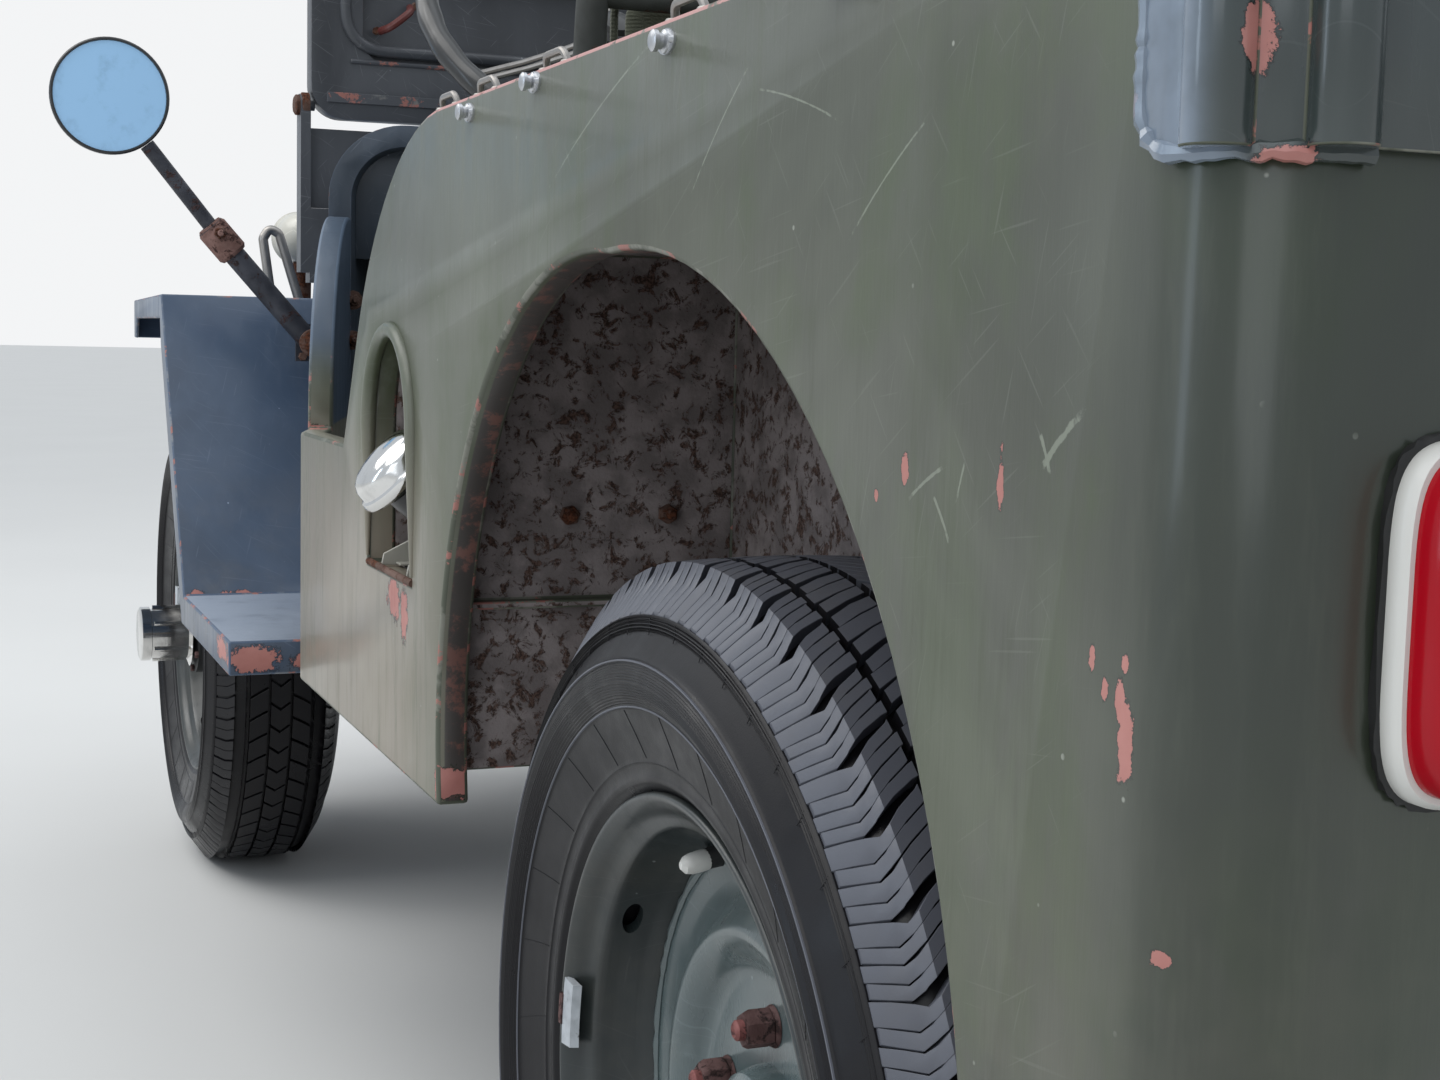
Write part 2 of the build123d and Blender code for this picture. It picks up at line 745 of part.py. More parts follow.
with BuildPart() as tub_floor:
    with BuildSketch(plan_plane(floor_top - floor_thickness)):
        add(inner_plan)
        with Locations((0, -300)):
            Rectangle(2000, 2230, mode=Mode.INTERSECT)
        for side in (-1, 1):
            middle_x = side * (wheelhouse_inner_x + 300)
            middle_y = (wheelhouse_front_y + wheelhouse_rear_y) / 2
            with Locations((middle_x, middle_y)):
                Rectangle(600, wheelhouse_rear_y - wheelhouse_front_y + 2 * sheet,
                          mode=Mode.SUBTRACT)
    extrude(amount=floor_thickness)
save(tub_floor, "tub_floor")

with BuildPart() as wheelhouses:
    for side in (-1, 1):
        inner = side * wheelhouse_inner_x
        outer = side * (tub_half_width - wall)
        wide = (min(inner, outer), max(inner, outer))
        hollow = (min(inner + side * sheet, outer + side), max(inner + side * sheet, outer + side))
        block(wide, (wheelhouse_front_y - sheet, wheelhouse_rear_y + sheet),
              (side_bottom + 20, wheelhouse_top))
        block(hollow, (wheelhouse_front_y, wheelhouse_rear_y),
              (side_bottom, wheelhouse_top - sheet), mode=Mode.SUBTRACT)
        block(wide, (wheelhouse_front_y - sheet, wheelhouse_front_y + 12), (596, 602))
save(wheelhouses, "wheelhouses")

pocket_plan = tub_sketch(-pocket_thickness)
with BuildPart() as corner_pockets:
    with BuildSketch(plan_plane(pocket_bottom)):
        add(pocket_plan)
        add(outer_plan, mode=Mode.SUBTRACT)
        with Locations((0, pocket_front_y + 100)):
            Rectangle(2000, 200, mode=Mode.INTERSECT)
        Rectangle(2 * pocket_inner_x, 2000, mode=Mode.SUBTRACT)
    extrude(amount=side_top - pocket_bottom)
    for side in (-1, 1):
        for turn in pocket_rib_turns:
            reach = tub_corner_radius + pocket_thickness
            rib_x = tub_half_width - tub_corner_radius + reach * math.cos(math.radians(turn))
            rib_y = tub_rear_y - tub_corner_radius + reach * math.sin(math.radians(turn))
            with BuildSketch(plan_plane(pocket_bottom)):
                with Locations((side * rib_x, rib_y)):
                    Circle(pocket_rib_radius)
                add(outer_plan, mode=Mode.SUBTRACT)
            extrude(amount=side_top - pocket_bottom)
save(corner_pockets, "corner_pockets")

# Cowl, firewall and dash

with BuildPart() as cowl:
    with BuildSketch(plan_plane(side_bottom)):
        add(outer_plan)
        with Locations((0, (cowl_front_y + cowl_rear_y) / 2)):
            Rectangle(2000, cowl_rear_y - cowl_front_y, mode=Mode.INTERSECT)
    extrude(amount=cowl_top - side_bottom)
    top_edges = cowl.faces().sort_by(Axis.Z)[-1].edges().group_by(Axis.X)
    fillet([top_edges[0][0], top_edges[-1][0]], cowl_corner_radius)
    openings = [cowl.faces().sort_by(Axis.Z)[0], cowl.faces().sort_by(Axis.Y)[0],
                cowl.faces().sort_by(Axis.Y)[-1]]
    offset(amount=-wall, openings=openings)
    for side in (-1, 1):
        ends = sorted(side * x for x in cowl_barrel)
        rod((ends[0], hinge_y, hinge_z), (ends[1], hinge_y, hinge_z), hinge_radius)
        block(ends, (hinge_y, hinge_y + hinge_leaf), (cowl_top - 0.5, hinge_z - 1))
save(cowl, "cowl")


def cowl_room(gap):
    """The room inside the cowl, smaller all round by a gap."""
    with BuildPart() as room:
        with BuildSketch(plan_plane(floor_top - 20)):
            add(tub_sketch(wall + gap))
            with Locations((0, (cowl_front_y + cowl_rear_y) / 2)):
                Rectangle(2000, cowl_rear_y - cowl_front_y, mode=Mode.INTERSECT)
        extrude(amount=cowl_top - wall - gap - floor_top + 20)
        edges = room.faces().sort_by(Axis.Z)[-1].edges().group_by(Axis.X)
        fillet([edges[0][0], edges[-1][0]], cowl_corner_radius - wall - gap)
    return room.part


column_length = 746.0
column_clearance = 4.0
column_dir = Vector(0, math.sin(math.radians(column_tilt_deg)), math.cos(math.radians(column_tilt_deg)))
column_top = point(column_x, steering_wheel_y, steering_wheel_z) - column_dir * 24
column_foot = column_top - column_dir * column_length


def column_hole():
    """The hole round the steering column in whatever part is being built."""
    with BuildSketch(Plane(origin=column_foot, z_dir=column_dir)) as section:
        Circle(column_radius + column_clearance)
    extrude(section.sketch, amount=column_length, mode=Mode.SUBTRACT)


firewall_thickness = 8.0
firewall_front_y = cowl_front_y + 6
toe_top = 745.0
toe_rear_y = -1398.0
with BuildPart() as firewall:
    with BuildSketch(side_plane(-600)):
        with BuildLine():
            back = firewall_front_y + firewall_thickness
            foot = floor_top + 0.2
            Polyline((firewall_front_y, cowl_top), (back, cowl_top), (back, toe_top),
                     (toe_rear_y, foot), (toe_rear_y - 14, foot), (firewall_front_y, toe_top - 4),
                     (firewall_front_y, cowl_top))
        make_face()
    extrude(amount=1200)
    add(cowl_room(0.3), mode=Mode.INTERSECT)
    column_hole()
save(firewall, "firewall")

dash_y = cowl_rear_y - 42
dash_bottom = 880.0
with BuildPart() as dash:
    with BuildSketch(cross_plane(dash_y + 5)):
        with Locations((0, (dash_bottom + cowl_top) / 2)):
            Rectangle(1300, cowl_top - dash_bottom)
        with Locations((0, 950)):
            Circle(48, mode=Mode.SUBTRACT)
        for x in (-98, 98):
            with Locations((x, 968), (x, 915)):
                Circle(20, mode=Mode.SUBTRACT)
    extrude(amount=5)
    block((-650, 650), (dash_y - 22, dash_y), (dash_bottom, dash_bottom + 5))
    add(cowl_room(0.3), mode=Mode.INTERSECT)
    column_hole()
save(dash, "dash")

# Fenders


def fender():
    """Left front fender with its sloping rear panel, step and inner apron."""
    nose_low = fender_top - fender_nose_drop
    skirt_low = fender_top - fender_skirt
    with BuildPart() as piece:
        with BuildSketch(side_plane(0)) as outer_side:
            with BuildLine():
                Polyline(
                    (fender_front_y, fender_top), (fender_bend_y, fender_top),
                    (fender_foot_y, step_top), (step_rear_y, step_top),
                    (step_rear_y, step_top - step_lip),
                    (fender_foot_y - 18, step_top - step_lip),
                    (fender_bend_y - 22, skirt_low),
                    (fender_front_y + fender_nose_length, skirt_low),
                    (fender_front_y + fender_nose_length * 0.7, nose_low),
                    (fender_front_y, nose_low), (fender_front_y, fender_top),
                )
            make_face()
            bends = [v for v in outer_side.vertices()
                     if abs(v.Z - ride_z - fender_top) < 1 or abs(v.Z - ride_z - nose_low) < 1]
            fillet(bends, 14)
        extrude(amount=fender_half_rear + 20)
        with BuildSketch(plan_plane(400)):
            with BuildLine():
                flank = (tub_half_width - cowl_rear_half) / (taper_start_y - cowl_rear_y)
                step_inner = cowl_rear_half + (step_rear_y - cowl_rear_y) * flank + body_gap
                Polyline(
                    (apron_x, fender_front_y), (fender_half_front, fender_front_y),
                    (fender_half_rear, fender_bend_y), (fender_half_rear, step_rear_y),
                    (step_inner, step_rear_y), (cowl_rear_half + body_gap, cowl_rear_y),
                    (cowl_front_half + body_gap, cowl_front_y),
                    (apron_x, cowl_front_y - 0.4), (apron_x, fender_front_y),
                )
            make_face()
        extrude(amount=600, mode=Mode.INTERSECT)
        with BuildSketch(side_plane(0)):
            with BuildLine():
                Polyline(
                    (fender_front_y + sheet, fender_top - sheet),
                    (fender_bend_y - 2, fender_top - sheet),
                    (fender_foot_y - 3, step_top - sheet),
                    (step_rear_y - sheet, step_top - sheet),
                    (step_rear_y - sheet, 300), (fender_front_y + sheet, 300),
                    (fender_front_y + sheet, fender_top - sheet),
                )
            make_face()
        hollow_half = fender_half_front - sheet
        cutter = extrude(amount=fender_half_rear + 20, mode=Mode.PRIVATE)
        with BuildSketch(plan_plane(200), mode=Mode.PRIVATE) as hollow_plan:
            with BuildLine():
                Polyline(
                    (0, fender_front_y - 5), (hollow_half, fender_front_y - 5),
                    (fender_half_rear - sheet, fender_bend_y),
                    (fender_half_rear - sheet, step_rear_y + 5), (0, step_rear_y + 5),
                    (0, fender_front_y - 5),
                )
            make_face()
        keep = extrude(hollow_plan.sketch, amount=900, mode=Mode.PRIVATE)
        add(cutter & keep, mode=Mode.SUBTRACT)
        block((apron_x, apron_x + sheet), (fender_front_y, cowl_front_y - 14),
              (apron_bottom, fender_top - sheet))
    return piece


fender_left = fender()
save(fender_left, "fender_left")
mirrored(fender_left, "fender_right")

# Grille, radiator and lamps

with BuildPart() as grille:
    with BuildSketch(cross_plane(fender_front_y)):
        with BuildLine():
            half = apron_x - body_gap
            high = hood_front_top
            Polyline((-half, grille_bottom), (half, grille_bottom), (half, high), (-half, high),
                     (-half, grille_bottom))
        plate = make_face()
        fillet(plate.vertices().group_by(Axis.Z)[-1], hood_front_radius)
        slot_middle = (slot_bottom + slot_top) / 2
        with Locations((0, slot_middle)):
            with GridLocations(slot_pitch, 1, slot_count, 1):
                SlotOverall(slot_top - slot_bottom, slot_width, rotation=90, mode=Mode.SUBTRACT)
        with Locations((-headlamp_x, headlamp_z), (headlamp_x, headlamp_z)):
            Circle(headlamp_radius + 3, mode=Mode.SUBTRACT)
    extrude(amount=grille_thickness)
    for side in (-1, 1):
        block((side * rail_x - 18, side * rail_x + 18),
              (fender_front_y - grille_thickness, fender_front_y), (rail_top, grille_bottom + 12))
save(grille, "grille")

with BuildPart() as radiator:
    block((-250, 250), (-2424, -2366), (rail_top, 942))
    block((-170, 170), (-2416, -2374), (942, 962))
save(radiator, "radiator")

with BuildPart() as headlamps:
    for side in (-1, 1):
        rod((side * headlamp_x, fender_front_y + 44, headlamp_z),
            (side * headlamp_x, fender_front_y - 8, headlamp_z), headlamp_radius)
        block((side * headlamp_x - 20, side * headlamp_x + 20), (fender_front_y + 1, fender_front_y + 30),
              (rail_top, headlamp_z - 60))
save(headlamps, "headlamps")

lamp_x = 474.0
lamp_y = -2320.0
lamp_z = 945.0
lamp_radius = 42.0
with BuildPart() as fender_lamp:
    rod((lamp_x, lamp_y - 45, lamp_z), (lamp_x, lamp_y + 30, lamp_z), lamp_radius)
    with Locations(at(lamp_x, lamp_y + 30, lamp_z)):
        Sphere(lamp_radius)
    rod((lamp_x, lamp_y, fender_top), (lamp_x, lamp_y, lamp_z), 14)
    rod((lamp_x, lamp_y, fender_top), (lamp_x, lamp_y, fender_top + 6), 32)
save(fender_lamp, "fender_lamp")

guard_y = -2215.0
guard_inner_x = 497.0
guard_outer_x = 541.0
guard_height = 117.0
with BuildPart() as lamp_guard:
    tube([(guard_outer_x - 1.4, guard_y, fender_top - 10),
          (guard_outer_x + 14, guard_y, fender_top + guard_height - 17),
          (guard_outer_x + 4, guard_y, fender_top + guard_height),
          (guard_outer_x - 11, guard_y, fender_top + guard_height - 9),
          (guard_inner_x - 3, guard_y, fender_top - 10)], 7.5, 9)
    block((guard_inner_x - 40, guard_outer_x + 40), (guard_y - 20, guard_y + 20),
          (fender_top - 40, fender_top), mode=Mode.SUBTRACT)
save(lamp_guard, "lamp_guard")

# Fuel tank, filler and its pocket

pocket_outer_x = tub_half_width - wall
with BuildPart() as fuel_tank:
    tank_outer_x = pocket_outer_x - filler_depth - 72
    block((tank_outer_x - 344, tank_outer_x), (-890, -520), (floor_top, 758))
    fillet(fuel_tank.edges().filter_by(Axis.X), 30)
    rod((tank_outer_x - 14, -610, 668), (pocket_outer_x - filler_depth - 0.3, -610, 668), 24)
save(fuel_tank, "fuel_tank")

with BuildPart() as filler_pocket:
    mid_z = (filler_bottom + filler_top) / 2
    with BuildSketch(side_plane(pocket_outer_x - filler_depth)):
        with Locations((filler_y, mid_z)):
            SlotOverall(filler_top - filler_bottom + 2 * sheet, filler_width + 2 * sheet, rotation=90)
        with Locations((filler_y, filler_bottom + filler_width / 4 - sheet)):
            Rectangle(filler_width + 2 * sheet, filler_width / 2)
    extrude(amount=filler_depth)
    with BuildSketch(side_plane(pocket_outer_x - filler_depth + sheet)):
        with Locations((filler_y, mid_z)):
            SlotOverall(filler_top - filler_bottom, filler_width, rotation=90)
        with Locations((filler_y, filler_bottom + filler_width / 4)):
            Rectangle(filler_width, filler_width / 2)
    extrude(amount=filler_depth, mode=Mode.SUBTRACT)
save(filler_pocket, "filler_pocket")

with BuildPart() as filler_neck:
    tilt = math.radians(filler_tilt_deg)
    base_x = pocket_outer_x - filler_depth + sheet + 24
    base_z = 640.0
    reach = 62.0
    out_x = math.cos(tilt)
    out_z = math.sin(tilt)
    rod((base_x, filler_y, base_z), (base_x + reach * out_x, filler_y, base_z + reach * out_z), 25)
    rod((base_x + reach * out_x, filler_y, base_z + reach * out_z),
        (base_x + (reach + 20) * out_x, filler_y, base_z + (reach + 20) * out_z),
        filler_cap_radius)
    crown = filler_neck.faces().sort_by(Axis((0, 0, 0), (out_x, 0, out_z)))[-1]
    fillet(crown.edges(), 12)
    rod((pocket_outer_x - filler_depth + sheet, filler_y, base_z), (base_x + 6, filler_y, base_z), 22)
save(filler_neck, "filler_neck")

# Seats

passenger_x = -seat_x
seat_rod_radius = seat_tube_radius - 3
front_bar_z = 1060.0
front_bar_y = seat_back_y - 20 + 52 * (front_bar_z - cushion_bottom + 14) / (
    seat_back_top - cushion_bottom + 14)
rear_bar_z = 1000.0
rear_bar_y = 340 + 32 * (rear_bar_z - cushion_bottom + 24) / (1060 - cushion_bottom + 24)
with BuildPart() as seat_frames:
    for centre in (seat_x, passenger_x):
        left = centre - seat_half + seat_tube_radius
        right = centre + seat_half - seat_tube_radius
        rail_z = cushion_bottom - 14
        front = seat_front_y + 20
        tube([(left, front, floor_top), (left, front, rail_z), (left, seat_back_y - 20, rail_z),
              (left, seat_back_y + 32, seat_back_top), (right, seat_back_y + 32, seat_back_top),
              (right, seat_back_y - 20, rail_z), (right, front, rail_z), (right, front, floor_top)],
             seat_tube_radius, 40)
        for x in (left, right):
            rod((x, seat_back_y - 62, floor_top), (x, seat_back_y - 62, rail_z), seat_rod_radius)
        for y in (seat_front_y + 90, seat_back_y - 90):
            rod((left, y, rail_z), (right, y, rail_z), seat_rod_radius)
        rod((left, front_bar_y, front_bar_z), (right, front_bar_y, front_bar_z), seat_rod_radius)
    rail_z = cushion_bottom - 24
    tube([(-400, 60, floor_top), (-400, 60, rail_z), (-400, 340, rail_z), (-400, 372, 1060),
          (400, 372, 1060), (400, 340, rail_z), (400, 60, rail_z), (400, 60, floor_top)],
         seat_tube_radius, 40)
    for x in (-400, 400):
        rod((x, 280, floor_top), (x, 280, rail_z), seat_rod_radius)
    for y in (120, 250):
        rod((-400, y, rail_z), (400, y, rail_z), seat_rod_radius)
    rod((-400, rear_bar_y, rear_bar_z), (400, rear_bar_y, rear_bar_z), seat_rod_radius)
save(seat_frames, "seat_frames")

seat_gap = 0.3
with BuildPart() as seat_cushions:
    hoop = seat_tube_radius + seat_gap
    for centre in (seat_x, passenger_x):
        low = cushion_bottom - 14 + hoop
        block((centre - seat_half, centre + seat_half), (seat_front_y, seat_back_y - 56),
              (low, low + cushion_thickness))
        block((centre - seat_half + 28, centre + seat_half - 28),
              (front_bar_y - 55, front_bar_y - seat_rod_radius - seat_gap), (low + 92, 1088))
    low = cushion_bottom - 24 + hoop
    block((-430, 430), (30, 303), (low, low + 70))
    block((-382, 382), (rear_bar_y - 38, rear_bar_y - seat_rod_radius - seat_gap),
          (low + 76, 1032))
save(seat_cushions, "seat_cushions")

# Steering column and wheel, levers

with BuildPart() as steering_column:
    with BuildSketch(Plane(origin=column_foot, z_dir=column_dir)):
        Circle(column_radius)
    extrude(amount=column_length)
    foot_y = column_foot.Y - rear_axle_y
    block((column_x - 38, column_x + 16), (foot_y - 60, foot_y + 60), (rail_top, column_foot.Z - ride_z + 34))
save(steering_column, "steering_column")

with BuildPart() as steering_wheel:
    hub = Plane(origin=point(column_x, steering_wheel_y, steering_wheel_z), z_dir=column_dir)
    with Locations(Location(hub)):
        Torus(steering_wheel_radius, 13)
        Cylinder(30, 30)
        for turn in (90, 210, 330):
            with Locations(Rotation(0, 0, turn)):
                with Locations(Location((steering_wheel_radius / 2, 0, 0))):
                    Box(steering_wheel_radius - 6, 20, 8)
    with Locations(Location(hub.offset(-19))):
        Cylinder(14, 9)
save(steering_wheel, "steering_wheel")

with BuildPart() as levers:
    tube([(0, -1290, floor_top), (0, -1290, 650), (0, -1180, 860)], 8, 60)
    with Locations(at(0, -1176, 868)):
        Sphere(20)
    for x in (-95.0, -140.0):
        tube([(x, -1120, floor_top), (x, -1120, 690), (x, -1100, 790)], 7, 60)
        with Locations(at(x, -1098, 796)):
            Sphere(15)
    rod((0, -1290, floor_top), (0, -1290, floor_top + 30), 40)
    block((-165, -70), (-1150, -1090), (floor_top, floor_top + 14))
save(levers, "levers")

# Windshield brackets, frame and glass

bracket_low = 853.0
with BuildPart() as windshield_brackets:
    for side in (-1, 1):
        x_in = windshield_half + 0.3
        x_out = windshield_half + 12
        with BuildSketch(side_plane(side * x_in if side > 0 else -x_out)):
            with BuildLine():
                low = windshield_y - 13
                high = windshield_y + 13
                Polyline((low, windshield_pivot_z), (low, bracket_low + 12), (high, bracket_low + 12),
                         (high, windshield_pivot_z))
                ThreePointArc((high, windshield_pivot_z), (windshield_y, windshield_pivot_z + 13),
                              (low, windshield_pivot_z))
            make_face()
            with Locations((windshield_y, windshield_pivot_z)):
                Circle(pivot_pin_radius + 0.3, mode=Mode.SUBTRACT)
        extrude(amount=x_out - x_in)
        cowl_half = cowl_rear_half + (windshield_y + 13 - cowl_rear_y) * cowl_taper
        low_x = side * (cowl_half + 0.3)
        high_x = side * (x_in + 1)
        block((min(low_x, high_x), max(low_x, high_x)), (windshield_y - 13, windshield_y + 13),
              (bracket_low, 940))
save(windshield_brackets, "windshield_brackets")

frame_front = windshield_y - windshield_depth / 2
pane_top = windshield_top - windshield_rail
with BuildPart() as windshield_frame:
    with BuildSketch(cross_plane(windshield_y + windshield_depth / 2)) as outline:
        middle = (windshield_bottom + windshield_top) / 2
        with Locations((0, middle)):
            RectangleRounded(2 * windshield_half, windshield_top - windshield_bottom, 38)
        with Locations((0, (windshield_sill_z + pane_top) / 2)):
            with GridLocations(windshield_half - 18, 1, 2, 1):
                RectangleRounded(windshield_half - 60, pane_top - windshield_sill_z, 24,
                                 mode=Mode.SUBTRACT)
    extrude(amount=windshield_depth)
    panel_low = windshield_bottom + 66
    with BuildSketch(cross_plane(windshield_y + windshield_depth / 2)):
        with Locations((0, (panel_low + windshield_sill_z - 22) / 2)):
            RectangleRounded(2 * windshield_half - 120, windshield_sill_z - 22 - panel_low, 30)
    extrude(amount=10, mode=Mode.SUBTRACT)
    for side in (-1, 1):
        rod((side * (windshield_half - 6), windshield_y, windshield_pivot_z),
            (side * (windshield_half + 15), windshield_y, windshield_pivot_z), pivot_pin_radius)
save(windshield_frame, "windshield_frame")

with BuildPart() as windshield_glass:
    with BuildSketch(cross_plane(windshield_y + 3)):
        with Locations((0, (windshield_sill_z + pane_top) / 2)):
            with GridLocations(windshield_half - 18, 1, 2, 1):
                RectangleRounded(windshield_half - 60, pane_top - windshield_sill_z, 24)
    extrude(amount=6)
save(windshield_glass, "windshield_glass")

# Hood


def hood_section(half, top, radius):
    """Inverted channel with rounded shoulders, drawn in (x, z)."""
    with BuildLine() as outline:
        Line((-half, hood_bottom), (-half, top - radius))
        ThreePointArc((-half, top - radius),
                      (radius * (1 - math.sqrt(0.5)) - half, top - radius * (1 - math.sqrt(0.5))),
                      (radius - half, top))
        Line((radius - half, top), (half - radius, top))
        ThreePointArc((half - radius, top),
                      (half - radius * (1 - math.sqrt(0.5)), top - radius * (1 - math.sqrt(0.5))),
                      (half, top - radius))
        Polyline((half, top - radius), (half, hood_bottom), (-half, hood_bottom))
    make_face(outline.line.edges())


with BuildPart() as hood:
    for inset, mode in ((0.0, Mode.ADD), (hood_sheet, Mode.SUBTRACT)):
        extra = 0 if mode is Mode.ADD else 1
        with BuildSketch(cross_plane(hood_rear_y + extra)):
            hood_section(hood_rear_half - inset, hood_rear_top - inset, hood_rear_radius - inset)
        with BuildSketch(cross_plane(hood_front_y - extra)):
            hood_section(hood_front_half - inset, hood_front_top - inset, hood_front_radius - inset)
        loft(mode=mode)
    for side in (-1, 1):
        ends = sorted(side * x for x in hood_barrel)
        rod((ends[0], hinge_y, hinge_z), (ends[1], hinge_y, hinge_z), hinge_radius)
        block(ends, (hinge_y - hinge_leaf, hinge_y), (hood_rear_top - 3, hinge_z - 1))
save(hood, "hood")

# Mirrors

with BuildPart() as mirror_arms:
    cowl_half = cowl_front_half + (mirror_y - 4 - cowl_front_y) * cowl_taper
    for side in (-1, 1):
        rod((side * 617, mirror_y, 781), (side * 729, mirror_y, 908), 13)
        reach = Vector(mirror_x - 729, mirror_z - 908, 0).normalized() * (mirror_radius + 0.2)
        rod((side * 729, mirror_y, 908),
            (side * (mirror_x - reach.X), mirror_y, mirror_z - reach.Y), 9)
        rod((side * 722, mirror_y, 900), (side * 738, mirror_y, 918), 17)
        low_x = side * (cowl_half + 0.3)
        high_x = side * 634
        block((min(low_x, high_x), max(low_x, high_x)), (mirror_y - 10, mirror_y - 4), (758, 804))
        rod((side * 617, mirror_y - 10, 781), (side * 617, mirror_y + 17, 781), 11)
save(mirror_arms, "mirror_arms")

with BuildPart() as mirror_heads:
    for side in (-1, 1):
        x = side * mirror_x
        rod((x, mirror_y - 6, mirror_z), (x, mirror_y + 8, mirror_z), mirror_radius)
        with BuildSketch(Plane(origin=point(x, mirror_y - 6, mirror_z), z_dir=(0, -1, 0))):
            Circle(mirror_radius)
        extrude(amount=26, taper=40)
save(mirror_heads, "mirror_heads")

# Tail lamps, towing pintle

with BuildPart() as tail_lamps:
    for side in (-1, 1):
        with BuildSketch(Plane(origin=point(side * tail_lamp_x, tub_rear_y, tail_lamp_z),
                               x_dir=(1, 0, 0), z_dir=(0, 1, 0))):
            RectangleRounded(98, 112, 22)
        extrude(amount=30)
    fillet(tail_lamps.faces().group_by(Axis.Y)[-1].edges(), 8)
save(tail_lamps, "tail_lamps")

hitch_z = 425.0
hitch_y = 590.0
hitch_bore = 13.0
with BuildPart() as towing_hitch:
    block((-60, 60), (rail_rear_y, rail_rear_y + 10), (hitch_z - 20, rail_top - 5))
    block((-30, 30), (rail_rear_y + 10, hitch_y), (hitch_z - 12, hitch_z + 12))
    rod((0, hitch_y, hitch_z - 12), (0, hitch_y, hitch_z + 12), 30)
    with Locations(at(0, hitch_y, hitch_z)):
        Cylinder(hitch_bore, 40, mode=Mode.SUBTRACT)
save(towing_hitch, "towing_hitch")

print("rear axle at y =", rear_axle_y)
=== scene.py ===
"""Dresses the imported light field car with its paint, tyres, trim and stage."""
import json
import math
import random

import bmesh
import bpy
from bpy.props import FloatProperty, FloatVectorProperty, IntProperty, PointerProperty
from mathutils import Matrix, Vector

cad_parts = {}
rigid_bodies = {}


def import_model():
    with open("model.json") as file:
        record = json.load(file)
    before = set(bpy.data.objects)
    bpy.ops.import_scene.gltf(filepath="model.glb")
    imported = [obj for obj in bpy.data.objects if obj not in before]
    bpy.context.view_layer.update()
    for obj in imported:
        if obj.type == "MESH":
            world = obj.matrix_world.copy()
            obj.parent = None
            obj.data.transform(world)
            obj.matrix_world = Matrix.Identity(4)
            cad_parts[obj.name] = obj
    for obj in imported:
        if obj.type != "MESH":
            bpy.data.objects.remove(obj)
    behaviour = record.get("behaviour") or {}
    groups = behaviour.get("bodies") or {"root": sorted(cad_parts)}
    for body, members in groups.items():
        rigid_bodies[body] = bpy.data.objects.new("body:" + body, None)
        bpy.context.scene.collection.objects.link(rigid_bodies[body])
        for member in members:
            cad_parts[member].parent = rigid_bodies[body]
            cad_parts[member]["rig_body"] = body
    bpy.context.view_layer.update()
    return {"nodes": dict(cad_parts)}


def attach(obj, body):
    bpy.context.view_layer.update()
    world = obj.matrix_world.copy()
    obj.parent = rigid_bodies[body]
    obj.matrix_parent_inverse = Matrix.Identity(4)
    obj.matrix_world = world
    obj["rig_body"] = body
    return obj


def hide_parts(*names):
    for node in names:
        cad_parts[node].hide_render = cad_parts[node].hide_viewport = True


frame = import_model()

bl_info = {
    "name": "Field car dressing",
    "version": (1, 0, 0),
    "blender": (4, 5, 0),
    "location": "3D View > Sidebar > Field car",
    "description": "Builds the paint, tyres, trim, seats and stage of a light field car",
    "category": "Object",
}

# The rear axle's line in the car's own frame, in metres
REAR_AXLE_Y = 0.914
# Places in millimetres, with y counted from the rear axle's line and z from the ground
HUB_HEIGHT = 340.0
HALF_TRACK = 615.0
FRONT_AXLE = -2032.0
FILLER_Y = -568.0
SIDE_X = 724.0
SHIELD_REAR_Y = -1376.0
LAMP_X, LAMP_Z = 624.0, 720.0
POCKET_CORNER = (478.0, 862.0)
POCKET_ROUND = 16.0

SIDES = ((1, "left"), (-1, "right"))
AFT, AHEAD, UP, LEFT = (0, 1, 0), (0, -1, 0), (0, 0, 1), (1, 0, 0)

# Wheel name: x, y, z of its middle, outward direction, body, whether it steers
WHEELS = {
    f"{end}_{hand}": (side * HALF_TRACK, y, HUB_HEIGHT, (side, 0, 0),
                      f"wheel_{end}_{hand}_body", y < 0)
    for end, y in (("rear", 0.0), ("front", FRONT_AXLE)) for side, hand in SIDES}
SPARE = (-235.0, 649.5, 800.0, AFT, "chassis", False)

# Camera fitted to the wheel centres, sill, side and arch of the photograph
CAMERA_PLACE = (1080.93, 1007.18, 803.42)
CAMERA_YAW, CAMERA_PITCH, CAMERA_ROLL = 0.38844, 0.10275, 0.02401
CAMERA_LENS = 1993.1 / 1440 * 36

# Bare primer showing through on the left side: y, z, half length, half height in mm
SIDE_CHIPS = (
    (479, 677, 5, 15), (475, 690, 3, 9), (458, 702, 2.5, 6), (477, 702, 2.5, 4),
    (466, 692, 2.5, 5), (322, 753, 3, 8), (395, 755, 2.5, 11), (498, 612, 4, 3.5),
    (298, 741, 2, 3), (-548, 588, 24, 19), (-512, 580, 13, 24), (-404, 470, 7, 13),
    (-357, 612, 9, 24), (-272, 763, 7, 12), (-334, 702, 5, 9), (-1010, 700, 16, 5),
)
# Scratches on the left side: y, z, half length, half height, lean in degrees
SIDE_SCRATCHES = (
    (339, 750, 16, 0.9, 28), (352, 738, 12, 0.9, -50), (366, 752, 9, 0.8, 70),
    (433, 771, 17, 1.6, 40), (424, 766, 8, 1.1, -62), (-60, 925, 95, 0.7, 20),
    (120, 900, 46, 0.6, 38), (210, 905, 50, 0.6, -14), (300, 868, 38, 0.6, 33),
    (-520, 650, 70, 0.6, 82), (-640, 610, 60, 0.6, 86),
)
